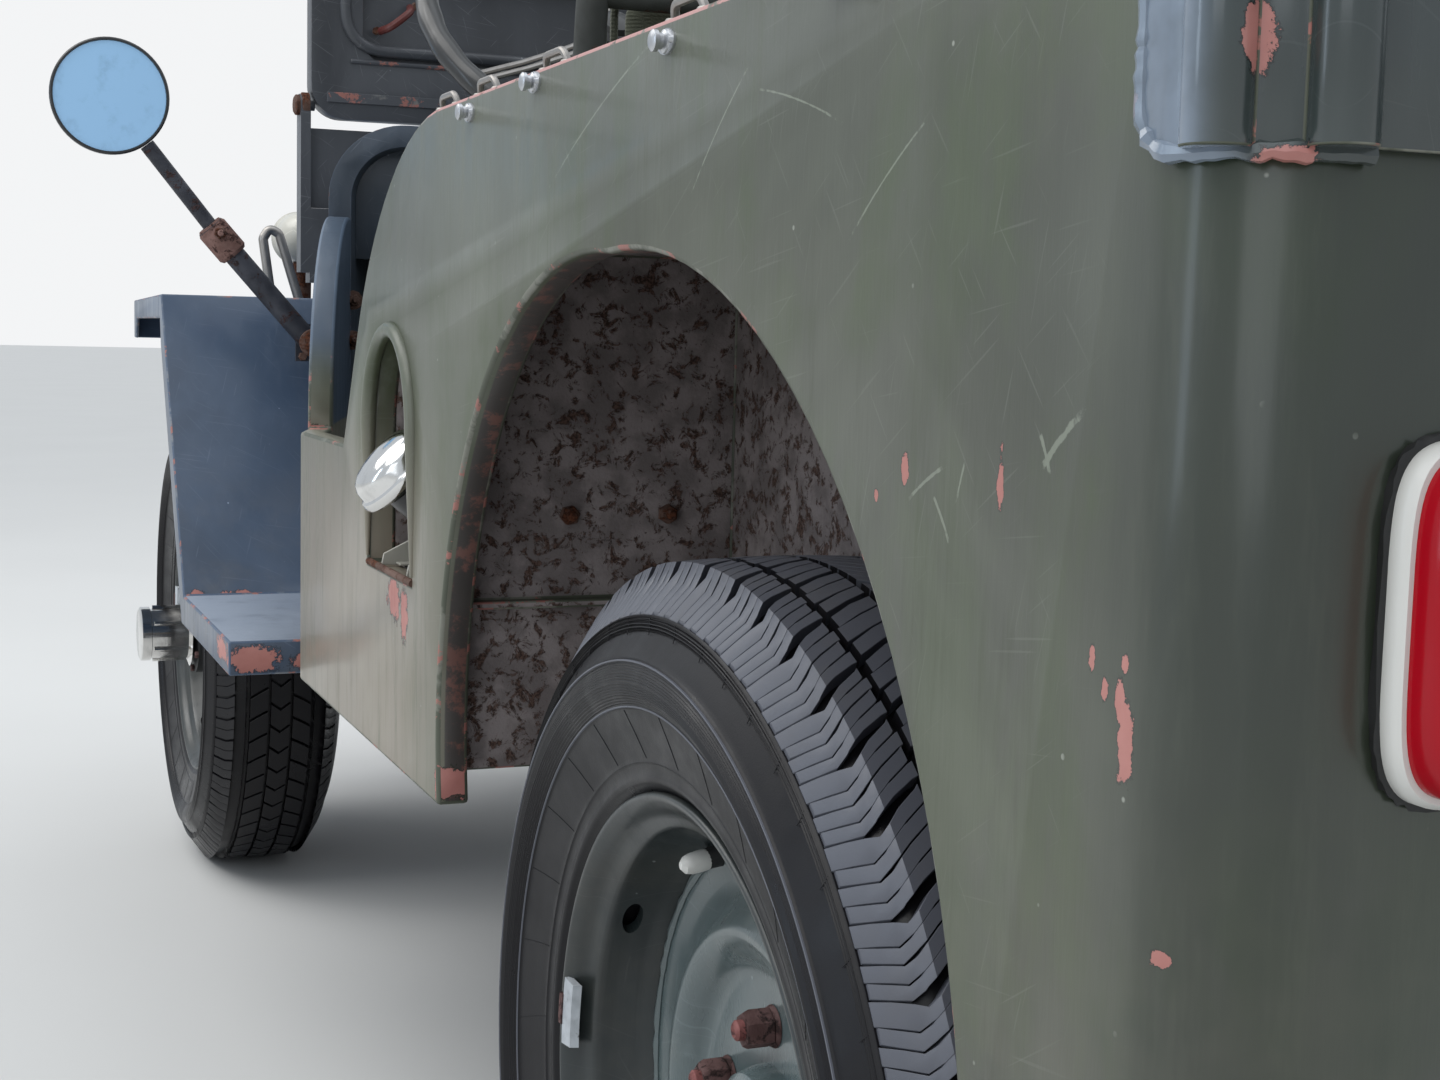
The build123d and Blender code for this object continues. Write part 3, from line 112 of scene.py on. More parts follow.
# Lean in degrees, length and width in mm of the hair scratches that cross each other in a coat
HAIR_LINES = ((32, 70, 2.0), (-48, 55, 2.2), (74, 60, 1.8), (8, 90, 2.2))
SCRATCH_BOW = 54.0
# Colours that more than one finish or part of one uses
# SKY_SLATE is painted reflection: the blue of the sky on shaded paint, used on the post in front of
# the door
SKY_SLATE = (0.074, 0.105, 0.150)
# SHADE_GREEN is painted shade on parts of the body sides
FRESH_GREEN, SHADE_GREEN = (0.056, 0.080, 0.028), (0.005, 0.012, 0.007)
SILL_ASH, ROAD_DIRT = (0.32, 0.265, 0.215), (0.19, 0.165, 0.125)
# Ranges in metres over which a mask changes, in the car's own frame
POST_REAR, POST_FOOT = (-0.13, -0.11), (0.701, 0.704)
SKIN_INSIDE, ARCH_TOP = (0.7172, 0.7186), (0.852, 0.862)
ARCH_FRONT, ARCH_REAR = (0.435, 0.45), (1.33, 1.35)


def at(x, y, z):
    """Point in metres from millimetres, with y counted from the rear axle."""
    return Vector((x / 1000, y / 1000 + REAR_AXLE_Y, z / 1000))


def settings():
    """The sizes and colours chosen in the panel."""
    return bpy.context.scene.field_car


# Shapes


def turned(origin, direction):
    """Matrix whose Z axis runs along a direction from an origin in metres, Y upward."""
    out = Vector(direction).normalized()
    up = Vector((0, 0, 1)) if abs(out.z) < 0.9 else Vector((0, 1, 0))
    across = up.cross(out).normalized()
    spin = Matrix((across, out.cross(across), out)).transposed()
    return Matrix.Translation(origin) @ spin.to_4x4()


def rounded(points, radius, steps=4, closed=False):
    """Path or outline with its corners turned into short arcs."""
    points = [Vector(p) for p in points]
    made = []
    count = len(points)
    for index, corner in enumerate(points):
        if not closed and index in (0, count - 1):
            made.append(corner)
            continue
        before = points[index - 1] - corner
        after = points[(index + 1) % count] - corner
        reach = min(radius, before.length * 0.49, after.length * 0.49)
        start = corner + before.normalized() * reach
        end = corner + after.normalized() * reach
        for step in range(steps + 1):
            t = step / steps
            made.append(start * (1 - t) ** 2 + corner * 2 * t * (1 - t) + end * t ** 2)
    return made


def mesh_data(name, mesh):
    """Mesh data from a mesh under construction, which is freed."""
    data = bpy.data.meshes.new(name)
    mesh.to_mesh(data)
    mesh.free()
    return data


def placed(name, data):
    """Object of the scene from its mesh, lamp or camera."""
    made = bpy.data.objects.new(name, data)
    bpy.context.scene.collection.objects.link(made)
    return made


def soften(made, width, segments, angle):
    """Rounds the edges that are sharper than an angle, over a width in millimetres."""
    edges = made.modifiers.new("edges", "BEVEL")
    edges.width = width / 1000
    edges.segments = segments
    edges.limit_method = "ANGLE"
    edges.angle_limit = math.radians(angle)
    edges.harden_normals = True
    return edges


def evaluated(made):
    """Mesh data of an object with its modifiers applied."""
    bpy.context.view_layer.update()
    graph = bpy.context.evaluated_depsgraph_get()
    return bpy.data.meshes.new_from_object(made.evaluated_get(graph))


class Shape:
    """Mesh of one piece while it is being built."""

    def __init__(self):
        self.mesh = bmesh.new()

    def add(self, points, faces, finish=0):
        verts = [self.mesh.verts.new(p) for p in points]
        for face in faces:
            self.mesh.faces.new([verts[i] for i in face]).material_index = finish

    def grid(self, rows, finish=0, round_rows=False, round_columns=False):
        """Quads between rows of points; either way can close on itself."""
        high, wide = len(rows), len(rows[0])
        faces = []
        for i in range(high if round_rows else high - 1):
            for j in range(wide if round_columns else wide - 1):
                a, b = i * wide, ((i + 1) % high) * wide
                k = (j + 1) % wide
                faces.append((a + j, a + k, b + k, b + j))
        self.add([p for row in rows for p in row], faces, finish)

    def lathe(self, profile, origin, direction, turns=48, finish=0, closed=True):
        """Profile of (along, radius) in millimetres turned about an axis."""
        place = turned(origin, direction)
        rows = []
        for step in range(turns):
            angle = math.tau * step / turns
            c, s = math.cos(angle), math.sin(angle)
            rows.append([place @ (Vector((r * c, r * s, a)) / 1000) for a, r in profile])
        self.grid(rows, finish, True, closed)

    def plug(self, profile, origin, direction, turns, finish=0):
        """Solid turned from a profile that starts and ends on the axis."""
        self.lathe(profile, origin, direction, turns, finish, False)

    def tube(self, points, radius, sides=10, finish=0, closed=False):
        """Round rod along points in metres, with its radius or radii in millimetres."""
        count = len(points)
        rows = []
        normal = None
        for index, p in enumerate(points):
            ahead = points[(index + 1) % count] if closed or index < count - 1 else p
            behind = points[index - 1] if closed or index else p
            along = (ahead - behind).normalized()
            if normal is None:
                normal = along.orthogonal().normalized()
            normal = (normal - along * normal.dot(along)).normalized()
            across = along.cross(normal)
            size = radius[index] if isinstance(radius, (list, tuple)) else radius
            rows.append([p + (normal * math.cos(math.tau * k / sides)
                              + across * math.sin(math.tau * k / sides)) * size / 1000
                         for k in range(sides)])
        self.grid(rows, finish, closed, True)
        if not closed:
            for row in (rows[0][::-1], rows[-1]):
                self.add(row, [tuple(range(sides))], finish)

    def prism(self, outline, origin, across, up, depth, finish=0):
        """Flat outline in millimetres given a thickness along across x up."""
        across, up = Vector(across).normalized(), Vector(up).normalized()
        out = across.cross(up)
        low = [origin + (across * a + up * b) / 1000 for a, b in outline]
        high = [p + out * depth / 1000 for p in low]
        count = len(outline)
        faces = [tuple(range(count))[::-1], tuple(range(count, 2 * count))]
        faces += [(i, (i + 1) % count, count + (i + 1) % count, count + i) for i in range(count)]
        self.add(low + high, faces, finish)

    def block(self, low, high, finish=0):
        """Box between two corners in millimetres from the rear axle."""
        (x0, y0, z0), (x1, y1, z1) = low, high
        points = [at(x, y, z) for x in (x0, x1) for y in (y0, y1) for z in (z0, z1)]
        self.add(points, [(0, 1, 3, 2), (4, 6, 7, 5), (0, 4, 5, 1),
                          (2, 3, 7, 6), (0, 2, 6, 4), (1, 5, 7, 3)], finish)

    def nut(self, origin, direction, width, height, finish=0, turn=0.0, bolt=0.0, bolt_finish=0):
        """Hexagon nut with a chamfered face and, where wanted, its bolt end."""
        place = turned(origin, direction)
        rows = []
        for along, size in ((0, 1), (height * 0.8, 1), (height, 0.86), (height, 0.0)):
            rows.append([place @ (Vector((math.cos(turn + math.tau * k / 6) * size * width / 2,
                                          math.sin(turn + math.tau * k / 6) * size * width / 2,
                                          along)) / 1000) for k in range(6)])
        self.grid(rows, finish, round_columns=True)
        if bolt:
            top = height + 5.5
            end = [(0, 0), (0, bolt), (height + 4, bolt), (top, bolt * 0.7), (top, 0)]
            self.plug(end, origin, direction, 12, bolt_finish)

    def piece(self, name, body, slot, finishes, replaced=(), bevel=0.0, sharp=35.0):
        """Turns the mesh into an object that rides on a body."""
        bmesh.ops.remove_doubles(self.mesh, verts=self.mesh.verts, dist=2e-6)
        bmesh.ops.recalc_face_normals(self.mesh, faces=self.mesh.faces)
        data = mesh_data(name, self.mesh)
        for finish in finishes:
            data.materials.append(Finishes.get(finish))
        data.shade_smooth()
        data.set_sharp_from_angle(angle=math.radians(sharp))
        made = placed(name, data)
        if bevel:
            soften(made, bevel, 2, 40)
        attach(made, body)
        if replaced:
            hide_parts(*replaced)
        return made


def dress_panel(node, finish, edge_finish, width, segments=2):
    """Stands for a pressed metal node with the same solid and worn, rounded edges."""
    source = frame["nodes"][node]
    mesh = bmesh.new()
    mesh.from_mesh(source.data)
    bmesh.ops.remove_doubles(mesh, verts=mesh.verts, dist=2e-6)
    bmesh.ops.dissolve_limit(mesh, angle_limit=math.radians(0.6), verts=mesh.verts,
                             edges=mesh.edges)
    data = mesh_data(f"{node}_dressed", mesh)
    data.materials.append(Finishes.get(finish))
    data.materials.append(Finishes.get(edge_finish))
    data.shade_smooth()
    made = placed(f"{node}_dressed", data)
    soften(made, width, segments, 33).material = 1
    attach(made, source["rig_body"])
    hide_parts(node)


# Finishes


def tone(colour, gain, lift=0.0):
    """Lighter or darker tone of a colour."""
    return tuple(c * gain + lift for c in colour)


class Finish:
    """Node tree of one material, laid out from its place on the car."""

    def __init__(self, name, material=None):
        self.material = material or bpy.data.materials.new(name)
        self.material.use_nodes = True
        self.tree = self.material.node_tree
        self.shader = self.tree.nodes["Principled BSDF"]
        self.place = self.node("ShaderNodeTexCoord").outputs["Object"]

    def node(self, kind, **inputs):
        made = self.tree.nodes.new(kind)
        for key, value in inputs.items():
            setattr(made, key, value)
        return made

    def feed(self, socket, value):
        if isinstance(value, bpy.types.NodeSocket):
            self.tree.links.new(value, socket)
        else:
            socket.default_value = value

    def give(self, name, value):
        """Feeds one of the shader's own sockets."""
        self.feed(self.shader.inputs[name], value)

    def skin(self, base, rough):
        """The shader's own colour and roughness."""
        self.give("Base Color", base)
        self.give("Roughness", rough)

    def maths(self, operation, a, b=0.0, clamp=False):
        made = self.node("ShaderNodeMath", operation=operation, use_clamp=clamp)
        self.feed(made.inputs[0], a)
        self.feed(made.inputs[1], b)
        return made.outputs[0]

    def times(self, a, b, clamp=False):
        return self.maths("MULTIPLY", a, b, clamp)

    def plus(self, a, b):
        return self.maths("ADD", a, b)

    def vector(self, operation, a, b=(0, 0, 0)):
        made = self.node("ShaderNodeVectorMath", operation=operation)
        self.feed(made.inputs[0], a)
        self.feed(made.inputs[1], b)
        return made.outputs["Value" if operation in ("LENGTH", "DOT_PRODUCT") else "Vector"]

    def noise(self, scale, detail=3.0, roughness=0.55, stretch=(1, 1, 1), warp=0.0):
        made = self.node("ShaderNodeTexNoise")
        self.feed(made.inputs["Vector"], self.vector("MULTIPLY", self.place, stretch))
        for key, value in (("Scale", scale), ("Detail", detail), ("Roughness", roughness),
                           ("Distortion", warp)):
            made.inputs[key].default_value = value
        return made.outputs["Fac"]

    def cells(self, scale):
        made = self.node("ShaderNodeTexVoronoi")
        self.feed(made.inputs["Vector"], self.place)
        made.inputs["Scale"].default_value = scale
        return made.outputs["Distance"]

    def step(self, value, low, high, to_low=0.0, to_high=1.0):
        """Smooth change from one level to another as a value passes a range."""
        made = self.node("ShaderNodeMapRange", interpolation_type="SMOOTHSTEP", clamp=True)
        for index, number in enumerate((value, low, high, to_low, to_high)):
            self.feed(made.inputs[index], number)
        return made.outputs[0]

    def fall(self, value, low, high):
        """Smooth drop from one to nought as a value passes a range."""
        return self.step(value, low, high, 1.0, 0.0)

    def blend(self, amount, a, b):
        made = self.node("ShaderNodeMix", data_type="RGBA")
        self.feed(made.inputs[0], amount)
        for index, colour in ((6, a), (7, b)):
            if not isinstance(colour, bpy.types.NodeSocket):
                colour = (*colour[:3], 1.0)
            self.feed(made.inputs[index], colour)
        return made.outputs[2]

    def axis(self, name):
        split = self.node("ShaderNodeSeparateXYZ")
        self.feed(split.inputs[0], self.place)
        return split.outputs[name]

    def bump(self, height, depth, strength=1.0):
        """Relief of a height in millimetres; later calls ride on earlier ones."""
        made = self.node("ShaderNodeBump")
        made.inputs["Strength"].default_value = strength
        made.inputs["Distance"].default_value = depth / 1000
        self.feed(made.inputs["Height"], height)
        before = self.shader.inputs["Normal"]
        if before.is_linked:
            self.feed(made.inputs["Normal"], before.links[0].from_socket)
        self.feed(before, made.outputs["Normal"])

    def spots(self, places):
        """Distance in radii to the nearest of some placed, ragged patches."""
        nearest = None
        for centre, half in places:
            away = self.vector("SUBTRACT", self.place, tuple(centre))
            away = self.vector("MULTIPLY", away, tuple(1000 / h for h in half))
            far = self.vector("LENGTH", away)
            nearest = far if nearest is None else self.maths("MINIMUM", nearest, far)
        return nearest

    def hairs(self, lean, length, width, flat=False):
        """Sparse straight scratches that lean one way, sized in millimetres."""
        angle = math.radians(lean)
        across = 0.0 if flat else 1.0
        lined = self.node("ShaderNodeCombineXYZ")
        for index, (way, cell) in enumerate((
                ((across * math.cos(angle), math.cos(angle), math.sin(angle)), length),
                ((-across * math.sin(angle), -math.sin(angle), math.cos(angle)), width))):
            steps = self.vector("DOT_PRODUCT", self.place, way)
            self.feed(lined.inputs[index], self.times(steps, 1000 / cell))
        spread = self.node("ShaderNodeTexNoise")
        self.feed(spread.inputs["Vector"], lined.outputs[0])
        spread.inputs["Scale"].default_value = 1.0
        spread.inputs["Detail"].default_value = 1.0
        return self.step(spread.outputs["Fac"], 0.70, 0.75)

    def set(self, **values):
        """Plain values on the shader's own sockets."""
        for key, value in values.items():
            name = key.replace("_", " ").title().replace("Ior", "IOR")
            if name == "Base Color" or name.endswith("Tint"):
                value = (*value[:3], 1.0)
            self.shader.inputs[name].default_value = value


def front_post(make):
    """Mask of the upright post in front of the door opening."""
    return make.times(make.fall(make.axis("Y"), *POST_REAR), make.step(make.axis("Z"), *POST_FOOT))


def flank_coats(make, base, colour, chalk, hairs):
    """The sides' faded front half, fresher patches and ashen sill, with painted shade over the
    upper front and the rear end.
    """
    along, height = make.axis("Y"), make.axis("Z")
    faded = make.fall(along, REAR_AXLE_Y - 0.62, REAR_AXLE_Y + 0.35)
    base = make.blend(make.times(faded, 0.55), base, tone(colour, 1.75, 0.012))
    chalk = make.times(make.step(faded, 0.25, 0.9, 0.22, 1.0), chalk)
    fresh = make.step(make.noise(7.5, 5.0, 0.66, (1, 1, 0.55), 0.4), 0.46, 0.64, 0.0, 0.6)
    base = make.blend(fresh, base, FRESH_GREEN)
    ahead = make.fall(along, REAR_AXLE_Y - 0.58, REAR_AXLE_Y - 0.30)
    ashen = make.times(ahead, make.step(height, 0.60, 0.78, 0.68, 0.0))
    base = make.blend(ashen, base, SILL_ASH)
    # painted shade: the upper front and the rear end round the corner are darkened towards a
    # near-black green
    shaded = make.times(ahead, make.step(height, 0.72, 0.86, 0.0, 0.50))
    rear_shade = make.step(along, REAR_AXLE_Y + 0.44, REAR_AXLE_Y + 0.51, 0.0, 0.66)
    base = make.blend(make.plus(shaded, rear_shade), base, SHADE_GREEN)
    hairs = make.step(along, REAR_AXLE_Y + 0.42, REAR_AXLE_Y + 0.47, hairs * 0.55, 0.0)
    return base, chalk, hairs


def scratch_mark(make, scratches):
    """Mask of bowed scratches on the left side."""
    nearest = None
    for y, z, half, thick, lean in scratches:
        angle = math.radians(lean)
        away = make.vector("SUBTRACT", make.place, tuple(at(SIDE_X, y, z)))
        along = make.vector("DOT_PRODUCT", away, (0, math.cos(angle), math.sin(angle)))
        across = make.vector("DOT_PRODUCT", away, (0, -math.sin(angle), math.cos(angle)))
        across = make.plus(across, make.times(make.times(along, along), SCRATCH_BOW / half))
        far = make.maths("MAXIMUM", make.maths("ABSOLUTE", make.times(along, 1000 / half)),
                         make.maths("ABSOLUTE", make.times(across, 1000 / thick)))
        nearest = far if nearest is None else make.maths("MINIMUM", nearest, far)
    ragged = make.plus(nearest, make.times(make.noise(260, 3.0), 1.5))
    return make.step(ragged, 1.25, 1.7, 0.5, 0.0)


def arch_flange(make, base):
    """Rusty flange that turns inward round the rear wheel's opening."""
    inside = make.fall(make.maths("ABSOLUTE", make.axis("X")), *SKIN_INSIDE)
    inside = make.times(inside, make.fall(make.axis("Z"), *ARCH_TOP))
    inside = make.times(inside, make.fall(make.axis("Y"), *ARCH_REAR))
    inside = make.times(inside, make.step(make.axis("Y"), *ARCH_FRONT))
    flange = make.blend(make.step(make.noise(52, 5.0, 0.7), 0.50, 0.62), (0.060, 0.052, 0.047),
                        (0.17, 0.082, 0.066))
    return make.blend(inside, base, flange)


def chipped(make, base, colour, chips):
    """Coat with ragged chips down to the primer, and the mask of the bare places."""
    worn = make.plus(make.spots(chips), make.times(make.noise(95, 5.0, 0.75), 2.1))
    base = make.blend(make.fall(worn, 1.97, 2.04), base, tone(colour, 0.35))
    primer = make.blend(make.noise(60, 3.0), (0.50, 0.22, 0.19), (0.36, 0.125, 0.105))
    bare = make.fall(worn, 1.84, 1.90)
    return make.blend(bare, base, primer), bare


def paint(name, colour, chalk=0.2, chips=(), scratches=(), gloss=0.42, grime=0.25, coat=0.12,
          flank=False, hairs=0.35):
    """Brush-painted sheet metal: patchy coats, chalky runs, scratches and chips."""
    make = Finish(name)
    patches = make.noise(4.2, 4.0, 0.62, (1, 1, 0.7), 0.5)
    runs = make.noise(46, 5.0, 0.68, (1, 1, 0.10), 0.3)
    fine = make.noise(300, 3.0, 0.6, (1, 1, 0.14))
    base = make.blend(make.step(patches, 0.34, 0.66), tone(colour, 0.66), colour)
    haze = make.times(make.step(runs, 0.44, 0.70), make.step(fine, 0.34, 0.64, 0.3, 1.0))
    if flank:
        base, chalk, hairs = flank_coats(make, base, colour, chalk, hairs)
    base = make.blend(make.times(haze, chalk, True), base, tone(colour, 1.35, 0.03))
    speck = make.step(make.cells(55), 0.045, 0.075, 0.8, 0.0)
    speck = make.times(speck, make.step(make.noise(30, 2.0), 0.5, 0.6))
    base = make.blend(speck, base, tone(colour, 1.8, 0.16))
    for lean, length, width in HAIR_LINES:
        lines = make.times(make.hairs(lean, length, width, flank), hairs)
        base = make.blend(lines, base, tone(colour, 1.4, 0.10))
    low = make.fall(make.axis("Z"), 0.42, 0.72)
    dirt = make.times(low, make.step(make.noise(9, 4.0, 0.65), 0.42, 0.66))
    base = make.blend(make.times(dirt, grime, True), base, ROAD_DIRT)
    rough = make.step(patches, 0.3, 0.7, gloss + 0.1, gloss - 0.05)
    rough = make.plus(rough, make.times(haze, 0.18))
    relief = make.plus(make.times(runs, 0.6), make.times(fine, 0.25))
    if scratches:
        base = make.blend(scratch_mark(make, scratches), base, (0.30, 0.33, 0.26))
    if flank:
        base = arch_flange(make, base)
        # painted reflection: the post in front of the door opening is given the sky's slate blue
        base = make.blend(front_post(make), base, make.blend(patches, SKY_SLATE, tone(SKY_SLATE, 0.6)))
    if chips:
        base, bare = chipped(make, base, colour, chips)
        rough = make.plus(rough, make.times(bare, 0.3))
        relief = make.plus(relief, make.times(bare, -1.1))
    make.skin(base, rough)
    make.set(specular_ior_level=0.5, coat_weight=coat, coat_roughness=0.16)
    if flank:
        make.give("Coat Weight", make.step(make.axis("Y"), REAR_AXLE_Y + 0.40, REAR_AXLE_Y + 0.49,
                                           coat, 0.55))
    make.bump(make.noise(5.5, 1.0, 0.4), 3.2, 0.22)
    make.bump(relief, 0.45, 0.6)
    return make.material


def coat_and_light_band(material, axis, low, high, colour, cover, facing=""):
    """Adds a band of another colour to a paint between two places along one axis: a second coat in
    some uses, painted light or shade in others.
    """
    make = Finish(material.name, material)
    before = make.shader.inputs["Base Color"].links[0].from_socket
    place = make.axis(axis)
    amount = make.times(make.step(place, low, low + 0.006), make.fall(place, high - 0.012, high))
    if facing:
        way = make.node("ShaderNodeSeparateXYZ")
        make.feed(way.inputs[0], make.node("ShaderNodeTexCoord").outputs["Normal"])
        faced = make.step(way.outputs["Z"], 0.6, 0.8)
        if facing == "cabin":
            inward = make.times(way.outputs["X"], make.axis("X"))
            faced = make.maths("MAXIMUM", faced, make.fall(inward, -0.25, -0.15))
        amount = make.times(amount, faced)
    amount = make.times(amount, make.step(make.noise(24, 4.0, 0.6), 0.25, 0.5, cover * 0.7, cover))
    make.give("Base Color", make.blend(amount, before, colour))
    return material


def worn_edge(name, colour, amount=0.5, crest=False):
    """Edge of painted metal rubbed through to primer in places."""
    make = Finish(name)
    rub = make.noise(16, 5.0, 0.7)
    bright = make.blend(make.noise(120, 2.0), tone(colour, 1.5, 0.05), (0.20, 0.19, 0.16))
    base = make.blend(make.step(rub, 0.60 - amount * 0.18, 0.66 - amount * 0.12), colour, bright)
    primer = make.step(make.noise(31, 5.0, 0.72, (1, 1, 1.3)), 0.565, 0.60)
    base = make.blend(primer, base, (0.33, 0.135, 0.11))
    if crest:
        # the sides' top edge is rubbed to primer all along, in a paler pink that is also a painted
        # highlight along the rolled edge
        top = make.step(make.axis("Z"), 0.9555, 0.9575)
        top = make.times(top, make.step(make.noise(44, 4.0, 0.7), 0.38, 0.46))
        base = make.blend(top, base, (0.52, 0.27, 0.25))
        # painted reflection: the post's edges are a paler sky slate
        base = make.blend(front_post(make), base, tone(SKY_SLATE, 1.25))
    make.skin(base, make.step(rub, 0.3, 0.7, 0.5, 0.36))
    make.set(specular_ior_level=0.5)
    make.bump(make.noise(210, 3.0), 0.4, 0.6)
    return make.material


def pitted_steel(name, colour, rust=(0.085, 0.036, 0.020), amount=0.5, scale=30.0, rough=0.62,
                 metal=0.0):
    """Old paint or metal mottled with rust and grime."""
    make = Finish(name)
    blots = make.noise(scale, 6.0, 0.72, warp=0.5)
    fine = make.noise(scale * 6, 4.0, 0.6)
    pale = tone(colour, 1.5, 0.02)
    base = make.blend(make.step(make.noise(scale * 0.4, 4.0), 0.4, 0.62), colour, pale)
    spread = make.step(blots, 0.62 - amount * 0.22, 0.66 - amount * 0.14)
    deep = make.blend(make.step(fine, 0.4, 0.6), rust, tone(rust, 0.35))
    base = make.blend(spread, base, deep)
    make.skin(base, make.step(blots, 0.35, 0.65, rough, min(rough + 0.3, 1.0)))
    make.set(metallic=metal, specular_ior_level=0.4)
    make.bump(spread, 0.5, 0.7)
    make.bump(fine, 0.5, 0.8)
    return make.material


def rubber(name, colour, rough=0.30, dust=0.03, shine=0.27):
    """Tyre rubber with a bloom of road dust."""
    make = Finish(name)
    cloud = make.noise(14, 5.0, 0.65)
    base = make.blend(make.times(make.step(cloud, 0.48, 0.75), dust),
                      colour, (0.10, 0.09, 0.075))
    make.skin(base, make.step(cloud, 0.3, 0.7, rough - 0.06, rough + 0.16))
    make.set(specular_ior_level=shine)
    make.bump(make.noise(700, 3.0, 0.7), 0.2, 0.4)
    return make.material


def polished(name, colour, rough=0.12, haze=0.12, metal=1.0):
    """Plated or bare metal with a soft bloom and small scratches."""
    make = Finish(name)
    bloom = make.noise(40, 5.0, 0.65)
    base = make.blend(make.step(bloom, 0.5, 0.8, 0.0, 0.55), colour, tone(colour, 0.62))
    make.skin(base, make.step(bloom, 0.35, 0.75, rough, rough + haze))
    make.set(metallic=metal)
    make.bump(make.noise(300, 2.0, 0.6, (1, 1, 0.2)), 0.08, 0.35)
    return make.material


def moulded(name, colour, rough=0.3, grain=0.1, coat=0.0, patch=0.15, shine=0.5):
    """Plastic, enamel or plain rubber with faint unevenness."""
    make = Finish(name)
    cloud = make.noise(22, 3.0, 0.6)
    base = make.blend(make.times(cloud, patch * 2), colour, tone(colour, 0.55))
    make.skin(base, make.step(cloud, 0.3, 0.7, rough, rough + 0.12))
    make.set(coat_weight=coat, coat_roughness=0.08, specular_ior_level=shine)
    make.bump(make.noise(420, 2.0), 0.15, grain)
    return make.material


def canvas(name, colour):
    """Woven cotton duck with crossed threads, fading and soil."""
    make = Finish(name)
    threads = []
    for stretch in ((1, 1, 0), (0, 0, 1)):
        wave = make.node("ShaderNodeTexWave", wave_type="BANDS", bands_direction="DIAGONAL")
        make.feed(wave.inputs["Vector"], make.vector("MULTIPLY", make.place, stretch))
        wave.inputs["Scale"].default_value = 210
        wave.inputs["Distortion"].default_value = 0.6
        wave.inputs["Detail"].default_value = 1
        threads.append(wave.outputs["Fac"])
    weave = make.times(threads[0], threads[1])
    flat = make.noise(900, 2.0, 0.6)
    fade = make.noise(6, 4.0, 0.6)
    base = make.blend(make.step(fade, 0.35, 0.7), tone(colour, 0.72), colour)
    base = make.blend(make.times(make.step(flat, 0.4, 0.7), 0.35), base,
                      tone(colour, 1.5))
    make.give("Base Color", base)
    make.set(roughness=0.88, sheen_weight=0.25, sheen_roughness=0.5, specular_ior_level=0.2)
    make.bump(make.noise(18, 4.0, 0.55), 2.0, 0.5)
    make.bump(make.plus(weave, make.times(flat, 0.7)), 0.5, 0.7)
    return make.material


def clear_glass(name, tint, rough=0.03, alpha=0.24):
    """Window or lens glass with a light film of dust."""
    make = Finish(name)
    film = make.noise(9, 5.0, 0.6)
    make.set(base_color=tint, ior=1.45, specular_ior_level=0.6)
    make.set(coat_weight=0.5, coat_roughness=0.03)
    make.give("Alpha", make.step(film, 0.4, 0.8, alpha, alpha + 0.12))
    make.give("Roughness", make.step(film, 0.4, 0.8, rough, rough + 0.06))
    return make.material


def side_places(chips, side):
    """Chip centres in metres and half sizes in millimetres on one flank."""
    return [(at(side * SIDE_X, y, z), (60, half, high)) for y, z, half, high in chips]


